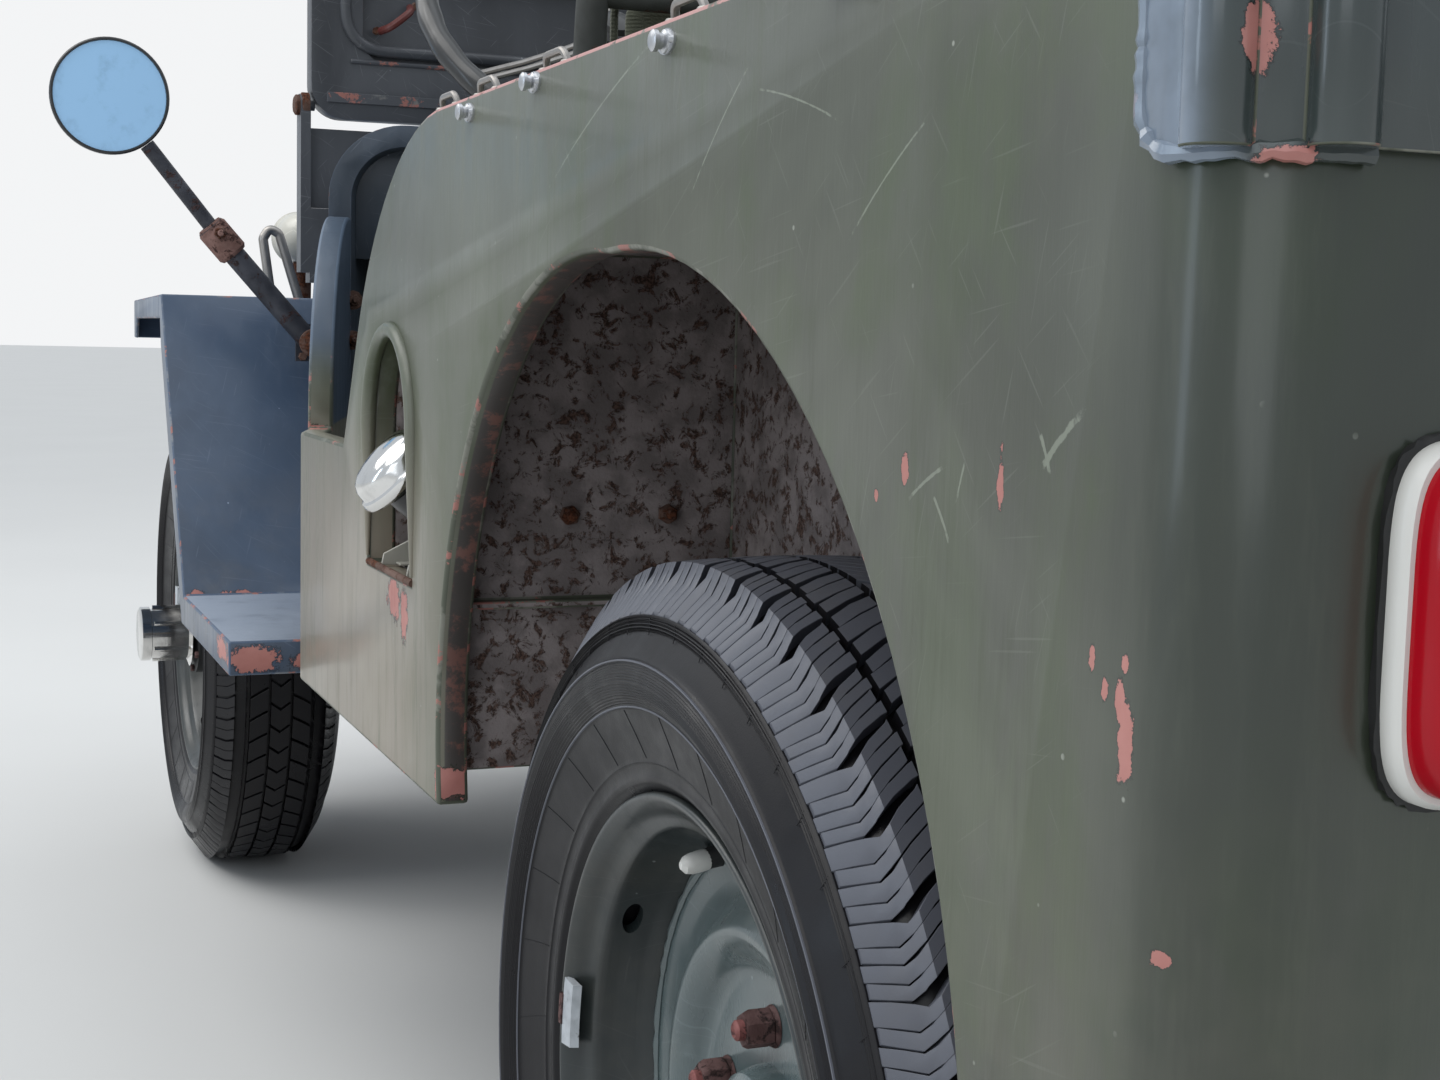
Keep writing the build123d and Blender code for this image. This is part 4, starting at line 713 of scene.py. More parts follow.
class Finishes:
    """Every material of the car, made once and shared by the operators."""

    made = {}

    @classmethod
    def get(cls, name):
        if not cls.made:
            cls.build()
        return cls.made[name]

    @classmethod
    def build(cls):
        look = settings()
        green = tuple(look.paint.green)
        sky_tinted = tuple(look.paint.fender)
        drab = tuple(look.paint.chassis)
        chalk = look.paint.chalk
        add = cls.made.__setitem__
        step_chips = [(at(x, y, z), half) for x, y, z, half in (
            (760, -1016, 465, (30, 20, 17)), (700, -1016, 462, (26, 20, 13)),
            (783, -1060, 470, (10, 45, 13)), (640, -1020, 478, (20, 14, 8)),
            (720, -1366, 486, (30, 8, 6)), (770, -1366, 486, (12, 10, 8)))]
        cowl_chips = [(at(634, -1250, 700), (30, 20, 13)), (at(-634, -1250, 706), (30, 20, 9)),
                      (at(545, -1530, 700), (30, 14, 12))]
        corner_chips = [(at(706, 530, 858), (10, 30, 5)), (at(716, 512, 893), (6, 30, 12)),
                        (at(722, 478, 878), (10, 4, 8)), (at(-706, 530, 858), (12, 30, 4))]
        add("side", paint("brushed_olive_side", green, chalk, side_places(SIDE_CHIPS, 1),
                          SIDE_SCRATCHES, 0.34, 0.3, 0.2, True))
        add("side_right", paint("brushed_olive_right", green, chalk * 0.8,
                                side_places(SIDE_CHIPS[3:14], -1), (), 0.34, 0.3, 0.2, True))
        add("panel", paint("olive_panel", green, chalk * 0.5, (), (), 0.40, 0.3))
        # painted shade: the rear panel is the body olive darkened to under half, for the shade on
        # the rear face
        add("rear_panel", paint("olive_rear_panel_shaded", (0.027, 0.041, 0.026), 0.15, (), (), 0.27, 0.3,
                                0.12, hairs=0.1))
        add("cowl", paint("slate_cowl", tuple(look.paint.cowl), 0.15, cowl_chips, (), 0.32, 0.1,
                          0.35))
        # painted shade and reflection: the rear corner is a darker green than the sides, and a band
        # of pale blue over the pockets' side-facing part stands in for the sky's reflection
        corner = paint("olive_corner_shade_and_sheen", (0.048, 0.062, 0.060), 0.1, corner_chips, (), 0.16, 0.0, 0.6,
                       hairs=0.08)
        add("corner", coat_and_light_band(corner, "Y", 1.36, REAR_AXLE_Y + 0.518, (0.22, 0.27, 0.34), 0.9))
        # painted reflection: the fenders, hood, grille and bumper are a slate blue that stands in
        # for the sky reflected on their paint
        fender = paint("sky_tinted_fender", sky_tinted, 0.12, step_chips, (), 0.33, 0.25, 0.3, hairs=0.2)
        # painted light: the step's upward faces are a paler blue, for the sky light falling on them
        add("fender", coat_and_light_band(fender, "Z", 0.44, 0.50, (0.29, 0.335, 0.41), 0.95, "up"))
        add("shield", paint("dark_windshield", tuple(look.paint.shield), 0.12, (), (), 0.36, 0.1,
                            0.2))
        # painted shade: the rim's barrel is the wheels' green at a fifth of its tone
        add("barrel", paint("rim_barrel_painted_shade", tone(look.paint.rim, 0.2), 0.12, (), (), 0.34, 0.1, 0.25,
                            hairs=0.1))
        add("rim", paint("rim_green", tuple(look.paint.rim), 0.12, (), (), 0.26, 0.12, 0.6,
                         hairs=0.2))
        add("edge", worn_edge("worn_olive_edge", green, look.paint.wear, True))
        add("edge_cool", worn_edge("worn_sky_tinted_edge", sky_tinted, look.paint.wear))
        add("edge_dark", worn_edge("worn_dark_edge", tuple(look.paint.shield),
                                   look.paint.wear * 0.6))
        # painted light and shade: the mottled grey is paler than its own tone, standing in for
        # light in the deep wheelhouse, and its rear part is darkened as painted shade; the tops and
        # the faces towards the cabin take the body green
        house = pitted_steel("mottled_wheelhouse", (0.175, 0.150, 0.145), (0.125, 0.074, 0.058),
                             0.5, 80)
        house = coat_and_light_band(house, "Y", REAR_AXLE_Y + 0.02, 2.0, (0.045, 0.034, 0.030), 0.8)
        add("wheelhouse", coat_and_light_band(house, "Z", 0.3, 1.2, green, 1.0, "cabin"))
        add("chassis", pitted_steel("chassis_black_green", drab, amount=0.3, scale=18, rough=0.5))
        add("rusty", pitted_steel("rusty_steel", (0.10, 0.055, 0.04), (0.13, 0.045, 0.022), 0.7, 45,
                                  0.7, 0.2))
        add("orange_rust", pitted_steel("brown_collar", (0.16, 0.085, 0.070), (0.07, 0.032, 0.026),
                                        0.4, 80, 0.7))
        add("iron", pitted_steel("engine_iron", (0.075, 0.079, 0.075), amount=0.2, scale=70,
                                 rough=0.6, metal=0.2))
        add("tyre", rubber("tyre_rubber", tuple(look.tyre.rubber)))
        # the shoulder bars' pale blue is road dust with painted sky sheen on the rubber
        add("tread", rubber("dusty_sheened_tread", tuple(look.tyre.dust), 0.40, 0.2, 0.5))
        # painted light: the crown bars are lifted to near the dust tone, well above the rubber's
        # black, besides their wear
        add("crown", rubber("worn_crown_painted_light", tone(look.tyre.dust, 0.9), 0.45, 0.3, 0.4))
        add("nut", pitted_steel("rusty_nut", (0.075, 0.035, 0.032), (0.045, 0.022, 0.020), 0.5, 90,
                                0.6, 0.1))
        add("bolt_end", pitted_steel("red_bolt_end", (0.17, 0.055, 0.05), (0.08, 0.028, 0.028), 0.4,
                                     120, 0.6))
        add("seal", moulded("black_seal_rubber", (0.016, 0.016, 0.016), 0.55, 0.3))
        add("chrome", polished("chrome_plate", (0.78, 0.77, 0.75), 0.08, 0.14))
        add("zinc", polished("zinc_plate", (0.55, 0.56, 0.58), 0.28, 0.2))
        add("steel", polished("worn_steel", (0.36, 0.34, 0.32), 0.34, 0.25))
        add("black", moulded("black_enamel", (0.018, 0.018, 0.018), 0.28, 0.1, 0.3))
        add("cream", paint("cream_enamel", (0.58, 0.56, 0.49), 0.1, (), (), 0.36, 0.0, 0.3))
        add("white", moulded("white_plastic", (0.72, 0.71, 0.67), 0.35, 0.15, 0.2))
        add("red", moulded("red_lens", (0.40, 0.0015, 0.010), 0.12, 0.05, 0.2, 0.10, 0.2))
        add("arm", pitted_steel("dark_mirror_arm", (0.030, 0.032, 0.042), (0.060, 0.026, 0.024),
                                0.35, 50, 0.42))
        add("handle", moulded("red_brown_handle", (0.13, 0.03, 0.025), 0.4, 0.2, 0.1))
        add("amber", moulded("amber_lens", (0.70, 0.18, 0.01), 0.12, 0.05, 0.8, 0.1))
        add("dial", moulded("dial_face", (0.02, 0.02, 0.02), 0.4, 0.05))
        add("canvas", canvas("seat_canvas", tuple(look.cushion.cloth)))
        add("window", clear_glass("window_glass", (0.30, 0.34, 0.33), 0.03, 0.08))
        add("lens", clear_glass("lamp_glass", (0.80, 0.83, 0.84), 0.05, 0.32))
        # painted reflection: the mirror glass is given the pale blue of the sky it reflects
        add("mirror", polished("mirror_painted_sky", (0.42, 0.70, 1.0), 0.03, 0.03, 0.35))
        add("lead", pitted_steel("balance_weight", (0.34, 0.36, 0.38), (0.12, 0.10, 0.09), 0.2, 60,
                                 0.5, 0.4))


# Tyres

TREAD_RADIUS = 340.0
TREAD_ROUND = math.tau * TREAD_RADIUS
TYRE_TURNS = 140
# Where the tread's low arch turns into its chamfer, and the chamfer's outer end
CHAMFER_IN, CHAMFER_OUT = 62.0, 82.0
# Ribbed bands of the outer wall: inner and outer radius, half the relief, pitch of the ribs
SHOULDER_BAND, WALL_BAND = (299, 306.8, 0.75, 1.95), (258, 281, 0.25, 1.6)
# Steps down the wall's profile in ribs, near a ring and elsewhere, and the reach of a ring
RIB_STEP, RING_STEP, WALL_STEP, RING_REACH = 0.4, 0.6, 2.4, 2.4
# Side wall from the tread's edge to the bead: radius, half width
WALL = ((308, 82.2), (299, 83.0), (290, 88.6), (282.5, 93.0), (276, 94.7), (270, 95.0), (263, 92.6),
        (256, 88.2), (240, 83.0), (224, 78.2), (212, 75.0), (205, 69.5))
# Rings standing on the outer wall: radius, height, half width
RINGS = ((307.4, 0.8, 0.6), (282.5, 1.3, 0.9), (256.0, 1.2, 0.9), (224.0, 0.7, 0.7),
         (214.0, 1.6, 3.0))
# Radii of the thin rings in the tread's colour, and how many hairs cross the lower wall
THIN_RINGS, WALL_HAIRS = (282.5, 256.0), 28


def crown(across):
    """Radius of the tread at a distance from its middle."""
    across = abs(across)
    if across <= CHAMFER_IN:
        return 339.6 - 2.3 * (across / CHAMFER_IN) ** 2
    return 337.3 - 28.3 * (across - CHAMFER_IN) / (CHAMFER_OUT - CHAMFER_IN)


def wall_width(radius):
    """Half width of the bare side wall at a radius."""
    for (r1, w1), (r2, w2) in zip(WALL, WALL[1:]):
        if radius >= r2:
            return w1 + (w2 - w1) * (radius - r1) / (r2 - r1)
    return WALL[-1][1]


def wall_profile(ribbed):
    """Side wall from the tread's edge to the bead, as (half width, radius)."""
    points = []
    radius = WALL[0][0]
    while radius > WALL[-1][0]:
        width = wall_width(radius)
        step = WALL_STEP
        if ribbed:
            if any(abs(radius - ring) < RING_REACH for ring, _, _ in RINGS):
                step = RING_STEP
            for low, high, half, pitch in (SHOULDER_BAND, WALL_BAND):
                if low < radius < high:
                    width += half + half * math.cos(math.tau * (radius - low) / pitch)
                    step = RIB_STEP
            width += sum(high * math.exp(-((radius - ring) / wide) ** 2)
                         for ring, high, wide in RINGS)
        points.append((width, radius))
        radius -= step
    return points


def rolled(place, across, along, radius):
    """Point on the tyre from its width, its length round the tread and its radius."""
    angle = along / TREAD_RADIUS
    return place @ (Vector((radius * math.sin(angle), radius * math.cos(angle), across)) / 1000)


# Rounding of a bar's edges, and where on the chamfer its cuts turn shallow
BAR_EDGE, SHALLOW_FROM, SHALLOW_SHARE = 0.3, 66, 0.4


def tread_bar(shape, place, rows, depth):
    """One raised bar of the tread from its rows of (across, start, end)."""
    made = []
    for across, start, end in rows:
        top = crown(across)
        low = top - depth * (1.0 if abs(across) < SHALLOW_FROM else SHALLOW_SHARE)
        edge = min(BAR_EDGE, (end - start) * 0.2)
        made.append([rolled(place, across, along, radius) for along, radius in (
            (start, low), (start, top - edge), (start + edge, top), (end - edge, top),
            (end, top - edge), (end, low))])
    split = sum(abs(across) < CHAMFER_IN - 0.1 for across, _, _ in rows)
    if split > 1 or split == len(rows):
        shape.grid(made[:split + 1], 2)
    if split < len(rows) - 1:
        shape.grid(made[split:], 1)
    for row in (made[0], made[-1]):
        shape.add(row, [tuple(range(6))], 0 if row is made[0] else int(split < len(rows)))


# Rows across a rear shoulder, in mm from the middle of the tread
SHOULDER_ROWS = (40.5, 43.0, 54.0, 55.5, 62.0, 64.8, 65.8, 69.8, 76.0, 82.0)
THIN_SHIFT = (-17.0, -15.0, -6.5, -5.3, 0.6, 3.3, 4.2, 6.7, 2.6, -1.2)
PART_CUT = (0.06, 0.4, 0.4, 0.06, 0.06, 0.06, 0.5, 0.5, 0.5, 0.5)
# Lines of one rear pitch: share of the pitch, shift along the tread and half width at each row
SHOULDER_LINES = (
    (0.00, (-14.7, -12.8, -4.6, -3.4, 3.1, 5.6, 6.6, 6.2, 2.4, -1.2),
     (2.3, 2.4, 3.1, 3.2, 3.9, 3.9, 3.6, 0.8, 0.5, 0.5)),
    (0.32, THIN_SHIFT, PART_CUT),
    (0.54, THIN_SHIFT, (0.5, 0.5, 0.5, 0.5, 0.55, 1.0, 1.0, 0.55, 0.5, 0.5)),
    (0.78, THIN_SHIFT, PART_CUT),
)
# Middle bands of a rear tread: half width, shift along the tread, half of the wide groove
REAR_MIDDLE = ((2.8, -43.0, 2.6), (18.0, -33.0, 2.0), (35.5, -20.0, 2.6))
# How far the bars' ends stand out of line
INNER_UNEVEN, OUTER_UNEVEN = (1.1, -0.9, 0.8, -1.2), (0.3, -0.7, 0.2, -0.5)
MIDDLE_UNEVEN = 0.9
# Lengths of neighbouring pitches against their mean, which keep a tread from humming
PITCH_SHARES = (1.07, 0.94, 0.99)


def pitch_starts(pitches):
    """Start and length of each pitch round the tread in mm."""
    shares = [PITCH_SHARES[k % len(PITCH_SHARES)] for k in range(pitches)]
    scale = TREAD_ROUND / sum(shares)
    return [(sum(shares[:k]) * scale, shares[k] * scale) for k in range(pitches)]


def rear_tread(shape, place, pitches, sipe, depth):
    """Block tread: leaning shoulder bars with kinked cuts, and two middle bands."""
    last = len(SHOULDER_ROWS) - 1
    for begin, length in pitch_starts(pitches):
        for hand in (-1, 1):
            offset = begin + (0.5 * length if hand < 0 else 0)
            for bar in range(4):
                low_share, low_shift, low_half = SHOULDER_LINES[bar]
                high_share, high_shift, high_half = SHOULDER_LINES[(bar + 1) % 4]
                low = offset + low_share * length
                high = offset + (high_share + (1.0 if bar == 3 else 0.0)) * length
                rows = []
                for k, across in enumerate(SHOULDER_ROWS):
                    uneven = {0: INNER_UNEVEN[bar], last: OUTER_UNEVEN[bar]}.get(k, 0)
                    rows.append(((across + uneven) * hand, low + low_shift[k] + low_half[k],
                                 high + high_shift[k] - high_half[k]))
                tread_bar(shape, place, rows, depth)
            for bar in range(3):
                low, high = offset + bar * length / 3, offset + (bar + 1) * length / 3
                rows = []
                for across, shift, groove in REAR_MIDDLE:
                    if across > 30:
                        across += MIDDLE_UNEVEN if bar == 1 else -MIDDLE_UNEVEN
                    rows.append((across * hand, low + shift + (groove if bar == 0 else sipe / 2),
                                 high + shift - (groove if bar == 2 else sipe / 2)))
                tread_bar(shape, place, rows, depth)


# Front tread: columns of (widths across, shifts along the tread, bars to a pitch)
FRONT_COLUMNS = (
    ((-82, -70, -62, -46), (3.0, 0.0, -7.0, -17.0), 2), ((-41, -30, -17), (9.0, 2.0, -5.0), 1),
    ((-13, 0, 13), (-5.0, 5.0, -5.0), 1), ((17, 30, 41), (-5.0, 2.0, 9.0), 1),
    ((46, 62, 70, 82), (-17.0, -7.0, 0.0, 3.0), 2),
)
# Half of the gap between two front blocks of one column
FRONT_GAP = 2.0


def front_tread(shape, place, pitches, sipe, depth):
    """Five rows of slanted blocks between straight grooves."""
    pitch = TREAD_ROUND / pitches
    for index in range(pitches):
        for column, (stations, leans, bars) in enumerate(FRONT_COLUMNS):
            for bar in range(bars):
                base = (index + 0.33 * (column % 3)) * pitch
                low, high = base + bar * pitch / bars, base + (bar + 1) * pitch / bars
                low += FRONT_GAP if bar == 0 else sipe / 2
                high -= FRONT_GAP if bar == bars - 1 else sipe / 2
                rows = [(across, low + lean, high + lean) for across, lean in zip(stations, leans)]
                tread_bar(shape, place, rows if stations[0] > -20 else rows[::-1], depth)


def build_tyre(name, x, y, z, outward, body, front, replaced):
    """Carcass with its ribbed wall, and the tread on it."""
    size = settings().tyre
    place = turned(at(x, y, z), outward)
    depth = size.groove * 1000
    base = [(u, crown(u) - depth) for u in (-60, -30, 0, 30, 60)]
    under = [(66.0, 326.0), (80.4, 307.6)]
    out = under + wall_profile(True)
    back = [(-u, r) for u, r in under + wall_profile(False)]
    bead = [(66, 198), (60, 192), (-60, 192), (-66, 198)]
    shape = Shape()
    shape.lathe(base + out + bead + back[::-1], at(x, y, z), outward, TYRE_TURNS)
    if front:
        front_tread(shape, place, size.front_pitches, size.sipe * 1000, depth)
    else:
        rear_tread(shape, place, size.rear_pitches, size.sipe * 1000, depth)
    # moulding hairs across the shoulder ribs and down the lower wall
    for start, _ in pitch_starts(size.rear_pitches):
        hair = [rolled(place, wall_width(r) + 0.9, start + 14 + (302 - r) * 0.25, r)
                for r in (297, 302, 307)]
        shape.tube(hair, 0.28, 6)
    for mark in range(WALL_HAIRS):
        along = mark * TREAD_ROUND / WALL_HAIRS
        hair = [rolled(place, wall_width(r) + 0.1, along + (254 - r) * 0.5, r)
                for r in (254, 244, 234, 226)]
        shape.tube(hair, 0.25, 6)
    for radius in THIN_RINGS:
        ring = [rolled(place, wall_width(radius) + 1.0, TREAD_ROUND * k / TYRE_TURNS, radius)
                for k in range(TYRE_TURNS)]
        shape.tube(ring, 0.75, 5, 1, True)
    bars = ("tyre", "tyre") if front else ("tread", "crown")
    shape.piece(name, body, "tyre", ("tyre", *bars), (replaced,), sharp=28)


# Wheels

# Rim from its outer lip round the barrel and back by the tyre's side: along the axle, radius
RIM_PROFILE = ((71.5, 206.8), (75.0, 206.0), (75.6, 203.2), (71.5, 198.0), (65.5, 194.6),
               (62.5, 192.0), (60.0, 187.5), (58.0, 184.6), (50.0, 182.6), (44.0, 181.0),
               (30.0, 176.5), (20.0, 172.0), (6.0, 170.0), (-24.0, 170.0), (-38.0, 178.0),
               (-60.0, 184.0), (-64.0, 193.0), (-73.0, 199.0), (-75.0, 205.5), (-71.0, 207.0),
               (-67.0, 197.0), (-62.0, 191.0), (-42.0, 187.0), (-28.0, 176.5), (10.0, 176.5),
               (24.0, 180.5), (42.0, 188.0), (60.0, 191.2), (67.0, 197.5), (69.0, 206.0))
# Disc from its weld over the raised ring to the hub's hole and back: along the axle, radius
DISC_PROFILE = ((19.0, 171.5), (20.0, 166.0), (16.5, 158.0), (14.5, 149.0), (17.0, 139.0),
                (25.0, 131.0), (30.0, 124.5), (28.0, 117.5), (22.5, 110.0), (14.5, 104.5),
                (11.5, 98.5), (11.5, 34.0), (5.5, 34.0), (6.0, 98.0), (8.0, 106.0), (14.0, 114.0),
                (21.0, 122.5), (17.0, 130.0), (10.0, 139.0), (8.5, 149.0), (10.0, 160.0),
                (13.0, 171.5))
DRUM_PROFILE = (
    (-66, 108), (-66, 118), (-60, 118), (-58, 115), (-54, 115), (-52, 118), (-16, 118), (-10, 112),
    (-7, 50), (-14, 50), (-14, 108))
# Locking hub of a front wheel: flange, seat of its nuts, dial
FRONT_FLANGE = ((12, 0), (12, 50), (30, 50), (34, 47), (60, 47), (60, 0))
FRONT_SEAT = ((60, 0), (60, 60), (72, 60), (72, 52), (80, 0))
FRONT_DIAL = ((78, 0), (80, 50), (84, 38), (136, 37), (137, 40), (150, 40), (152, 36), (152, 0))
REAR_HUB = ((10, 0), (10, 47), (18, 46), (28, 43), (30, 39), (30, 32), (27, 30), (18, 29), (18, 0))
# Valve stem and its cap: radius, place along the axle, thickness
VALVE_STEM = ((174, 11, 9.5), (171, 17, 8.8), (169, 23, 6.8), (167.5, 29, 6.2))
VALVE_CAP = ((167.6, 28, 6.2), (167.2, 31, 6.7), (165.6, 39, 6.4), (165, 43, 5.2),
             (164.8, 45.5, 2.4))
# Balance weight and its clip: corners of the section, half length, finish
WEIGHTS = ((((68, 187), (73.5, 189), (75.6, 200), (71, 200)), 22.5, 3),
           (((72, 200), (76.4, 199.6), (77.0, 204), (73, 205)), 10.0, 0))
BOLT_RADIUS = 69.85
BOLT_COUNT = 5
BOLT_TURN = math.radians(-3.5)
RIM_HOLE_TURN = math.radians(-59)
VALVE_TURN = math.radians(-25)
WEIGHT_TURN = math.radians(-83.5)


def polar(place, turn, radius, along):
    """Point on a wheel from its angle, radius and place along the axle in mm."""
    return place @ (Vector((math.sin(turn) * radius, math.cos(turn) * radius, along)) / 1000)


def soft_profile(profile, radius, steps):
    """Closed profile with its corners rounded."""
    return [p.xy for p in rounded([(a, r, 0) for a, r in profile], radius, steps, True)]


def cut_by(piece, cutter):
    """Cuts a closed shape out of a piece."""
    bmesh.ops.recalc_face_normals(cutter.mesh, faces=cutter.mesh.faces)
    tool = placed(f"{piece.name}_cutter", mesh_data(f"{piece.name}_cutter", cutter.mesh))
    cut = piece.modifiers.new("cut", "BOOLEAN")
    cut.operation = "DIFFERENCE"
    cut.solver = "EXACT"
    cut.object = tool
    opened = evaluated(piece)
    piece.modifiers.remove(cut)
    piece.data = opened
    bpy.data.objects.remove(tool)


def oval(half_wide, half_high, count):
    """Flat oval outline."""
    return [(math.cos(math.tau * k / count) * half_wide, math.sin(math.tau * k / count) * half_high)
            for k in range(count)]


def build_rim(name, place, origin, outward, body, replaced):
    """Rolled rim with the oval holes in its outer band."""
    shape = Shape()
    shape.lathe(soft_profile(RIM_PROFILE, 3.0, 2), origin, outward, 120)
    rim = shape.piece(f"{name}_rim", body, "rim_paint", ("barrel",), (replaced,), sharp=38)
    cutter = Shape()
    for turn in range(4):
        angle = RIM_HOLE_TURN + turn * math.tau / 4
        tangent = place.to_3x3() @ Vector((math.cos(angle), -math.sin(angle), 0))
        axle = place.to_3x3() @ Vector(UP)
        side = 1 if tangent.cross(axle).dot(polar(place, angle, 1, 0) - origin) > 0 else -1
        hole = [(a * side, b) for a, b in oval(13.5, 6, 24)]
        cutter.prism(hole, polar(place, angle, 170, 44), tangent * side, axle, 24)
    cut_by(rim, cutter)


def build_wheel(name, x, y, z, outward, body, front, replaced, spare=False):
    """Pressed wheel, its nuts, valve, balance weight, drum and hub."""
    origin = at(x, y, z)
    place = turned(origin, outward)
    build_rim(name, place, origin, outward, body, replaced)
    disc = Shape()
    disc.lathe(soft_profile(DISC_PROFILE, 5.0, 3), origin, outward, 96)
    lumps = random.Random(11)
    weld = [polar(place, math.tau * k / 150, 169.5, 20.0) for k in range(150)]
    disc.tube(weld, [2.0 + lumps.random() * 1.4 for _ in weld], 6, 0, True)
    if not spare:
        disc.lathe(DRUM_PROFILE, origin, outward, 64, 1)
    disc.piece(f"{name}_disc", body, "rim_paint", ("rim", "chassis"), sharp=40)
    fitting = Shape()
    for turn in range(BOLT_COUNT):
        angle = math.tau * turn / BOLT_COUNT + BOLT_TURN
        spot = polar(place, angle, BOLT_RADIUS, 12.0)
        fitting.plug([(0, 0), (0, 12.5), (2.4, 11.2), (2.4, 0)], spot, outward, 24)
        fitting.nut(polar(place, angle, BOLT_RADIUS, 15.0), outward, 23, 16, 0, 0.5 - angle, 6.0, 6)
    for part, sides, finish in ((VALVE_STEM, 16, 1), (VALVE_CAP, 20, 2)):
        fitting.tube([polar(place, VALVE_TURN, r, a) for r, a, _ in part], [w for _, _, w in part],
                     sides, finish)
    for corners, half, finish in WEIGHTS:
        rows = []
        for k in range(9):
            turn = WEIGHT_TURN + half * (k - 4) / 4 / 195
            rows.append([polar(place, turn, r, a) for a, r in corners])
        fitting.grid(rows, finish, round_columns=True)
        for row in (rows[0], rows[-1]):
            fitting.add(row, [(0, 1, 2, 3)], finish)
    if front:
        for profile, finish in ((FRONT_FLANGE, 5), (FRONT_SEAT, 1), (FRONT_DIAL, 4)):
            fitting.plug(profile, origin, outward, 48, finish)
        for turn in range(6):
            a = math.tau * turn / 6
            fitting.nut(polar(place, a, 54, 71), outward, 11, 6, 0, a)
            fitting.tube([polar(place, a, 39, b) for b in (86, 133)], 3.2, 8, 4)
    elif not spare:
        fitting.plug(REAR_HUB, origin, outward, 56, 5)
        fitting.plug([(18, 0), (18, 14), (24, 13), (25, 0)], origin, outward, 24)
        for turn in range(6):
            a = math.tau * turn / 6 + 0.4
            fitting.nut(polar(place, a, 22, 18), outward, 9, 5, 0, a)
    else:
        fitting.plug([(-124, 0), (-124, 50), (14, 50), (14, 0)], origin, outward, 40, 5)
        fitting.lathe([(13, 30), (18, 30), (19, 28), (19, 0), (13, 0)], origin, outward, 40, 5)
        for turn in range(3):
            a = math.tau * turn / 3 + 0.36
            fitting.nut(polar(place, a, 20, 18), outward, 18, 9, 0, a)
    fitting.piece(f"{name}_fittings", body, "steel",
                  ("nut", "seal", "white", "lead", "chrome", "rim", "bolt_end"), sharp=32)


# Cushions

# Radius of the seams' piping and how far it lies inside a pad's faces
PIPING_RADIUS, PIPING_INSET = 3.2, 9
FILL_FRAMES = 20


def swell(outline, name):
    """Blows up a closed pad so that it crowns between its corners."""
    size = settings().cushion
    pad = placed(name, mesh_data(name, outline))
    remesh = pad.modifiers.new("even", "REMESH")
    remesh.mode = "VOXEL"
    remesh.voxel_size = size.voxel * 1.0
    data = evaluated(pad)
    pad.modifiers.clear()
    pad.data = data
    rest = [v.co.copy() for v in data.vertices]
    cloth = pad.modifiers.new("fill", "CLOTH")
    cloth.settings.use_pressure = True
    cloth.settings.uniform_pressure_force = size.pressure
    cloth.settings.effector_weights.gravity = 0
    cloth.settings.quality = 5
    cloth.point_cache.frame_start = 1
    cloth.point_cache.frame_end = FILL_FRAMES
    scene = bpy.context.scene
    for moment in range(1, FILL_FRAMES + 1):
        scene.frame_set(moment)
    grown = pad.evaluated_get(bpy.context.evaluated_depsgraph_get()).data
    moved = [v.co.copy() for v in grown.vertices]
    pad.modifiers.clear()
    scene.frame_set(1)
    for vertex, old, new in zip(pad.data.vertices, rest, moved):
        shift = new - old
        if shift.length > size.cap:
            shift = shift.normalized() * size.cap
        vertex.co = old + shift
    return pad


def pad_mesh(low, high, inset):
    """Rounded box between two corners in millimetres, a little smaller all round."""
    shape = Shape()
    low = [v + inset for v in low]
    high = [v - inset for v in high]
    shape.block(low, high)
    bmesh.ops.bevel(shape.mesh, geom=shape.mesh.edges[:], offset=0.018, segments=3, affect="EDGES")
    bmesh.ops.recalc_face_normals(shape.mesh, faces=shape.mesh.faces)
    return shape.mesh


def seam_round(shape, low, high, level, axis):
    """Piped seam round a pad at one level of an axis."""
    others = [i for i in range(3) if i != axis]
    corners = []
    for a, b in ((0, 0), (1, 0), (1, 1), (0, 1)):
        place = [0.0, 0.0, 0.0]
        place[axis] = level
        place[others[0]] = (low, high)[a][others[0]]
        place[others[1]] = (low, high)[b][others[1]]
        corners.append(at(*place))
    shape.tube(rounded(corners, 0.03, 5, True), PIPING_RADIUS, 8, 0, True)


def build_cushion(name, low, high, seam_axis, seam_levels, replaced=()):
    """One stuffed pad with its piped seams."""
    pad = swell(pad_mesh(low, high, settings().cushion.inset * 1000), name)
    rounder = pad.modifiers.new("smooth", "SUBSURF")
    rounder.levels = rounder.render_levels = 1
    pad.data.materials.append(Finishes.get("canvas"))
    pad.data.shade_smooth()
    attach(pad, "chassis")
    if replaced:
        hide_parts(*replaced)
    seams = Shape()
    inner, outer = [v + PIPING_INSET for v in low], [v - PIPING_INSET for v in high]
    for level in seam_levels:
        seam_round(seams, inner, outer, level, seam_axis)
    seams.piece(f"{name}_piping", "chassis", "canvas", ("canvas",))


def build_seats():
    """Front pair and rear bench, each a seat pad and a back pad."""
    for middle, label, replaced in ((390.0, "driver", ("seat_cushions",)),
                                    (-390.0, "passenger", ())):
        build_cushion(f"{label}_seat_pad", (middle - 212, -930, 789), (middle + 212, -556, 869), 2,
                      (802, 857), replaced)
        build_cushion(f"{label}_back_pad", (middle - 184, -534, 881), (middle + 184, -487, 1088), 1,
                      (-524, -497))
    build_cushion("rear_seat_pad", (-430, 30, 779), (430, 303, 849), 2, (790, 838))
    build_cushion("rear_back_pad", (-382, 326, 855), (382, 356, 1032), 1, (333, 349))


# Body trim


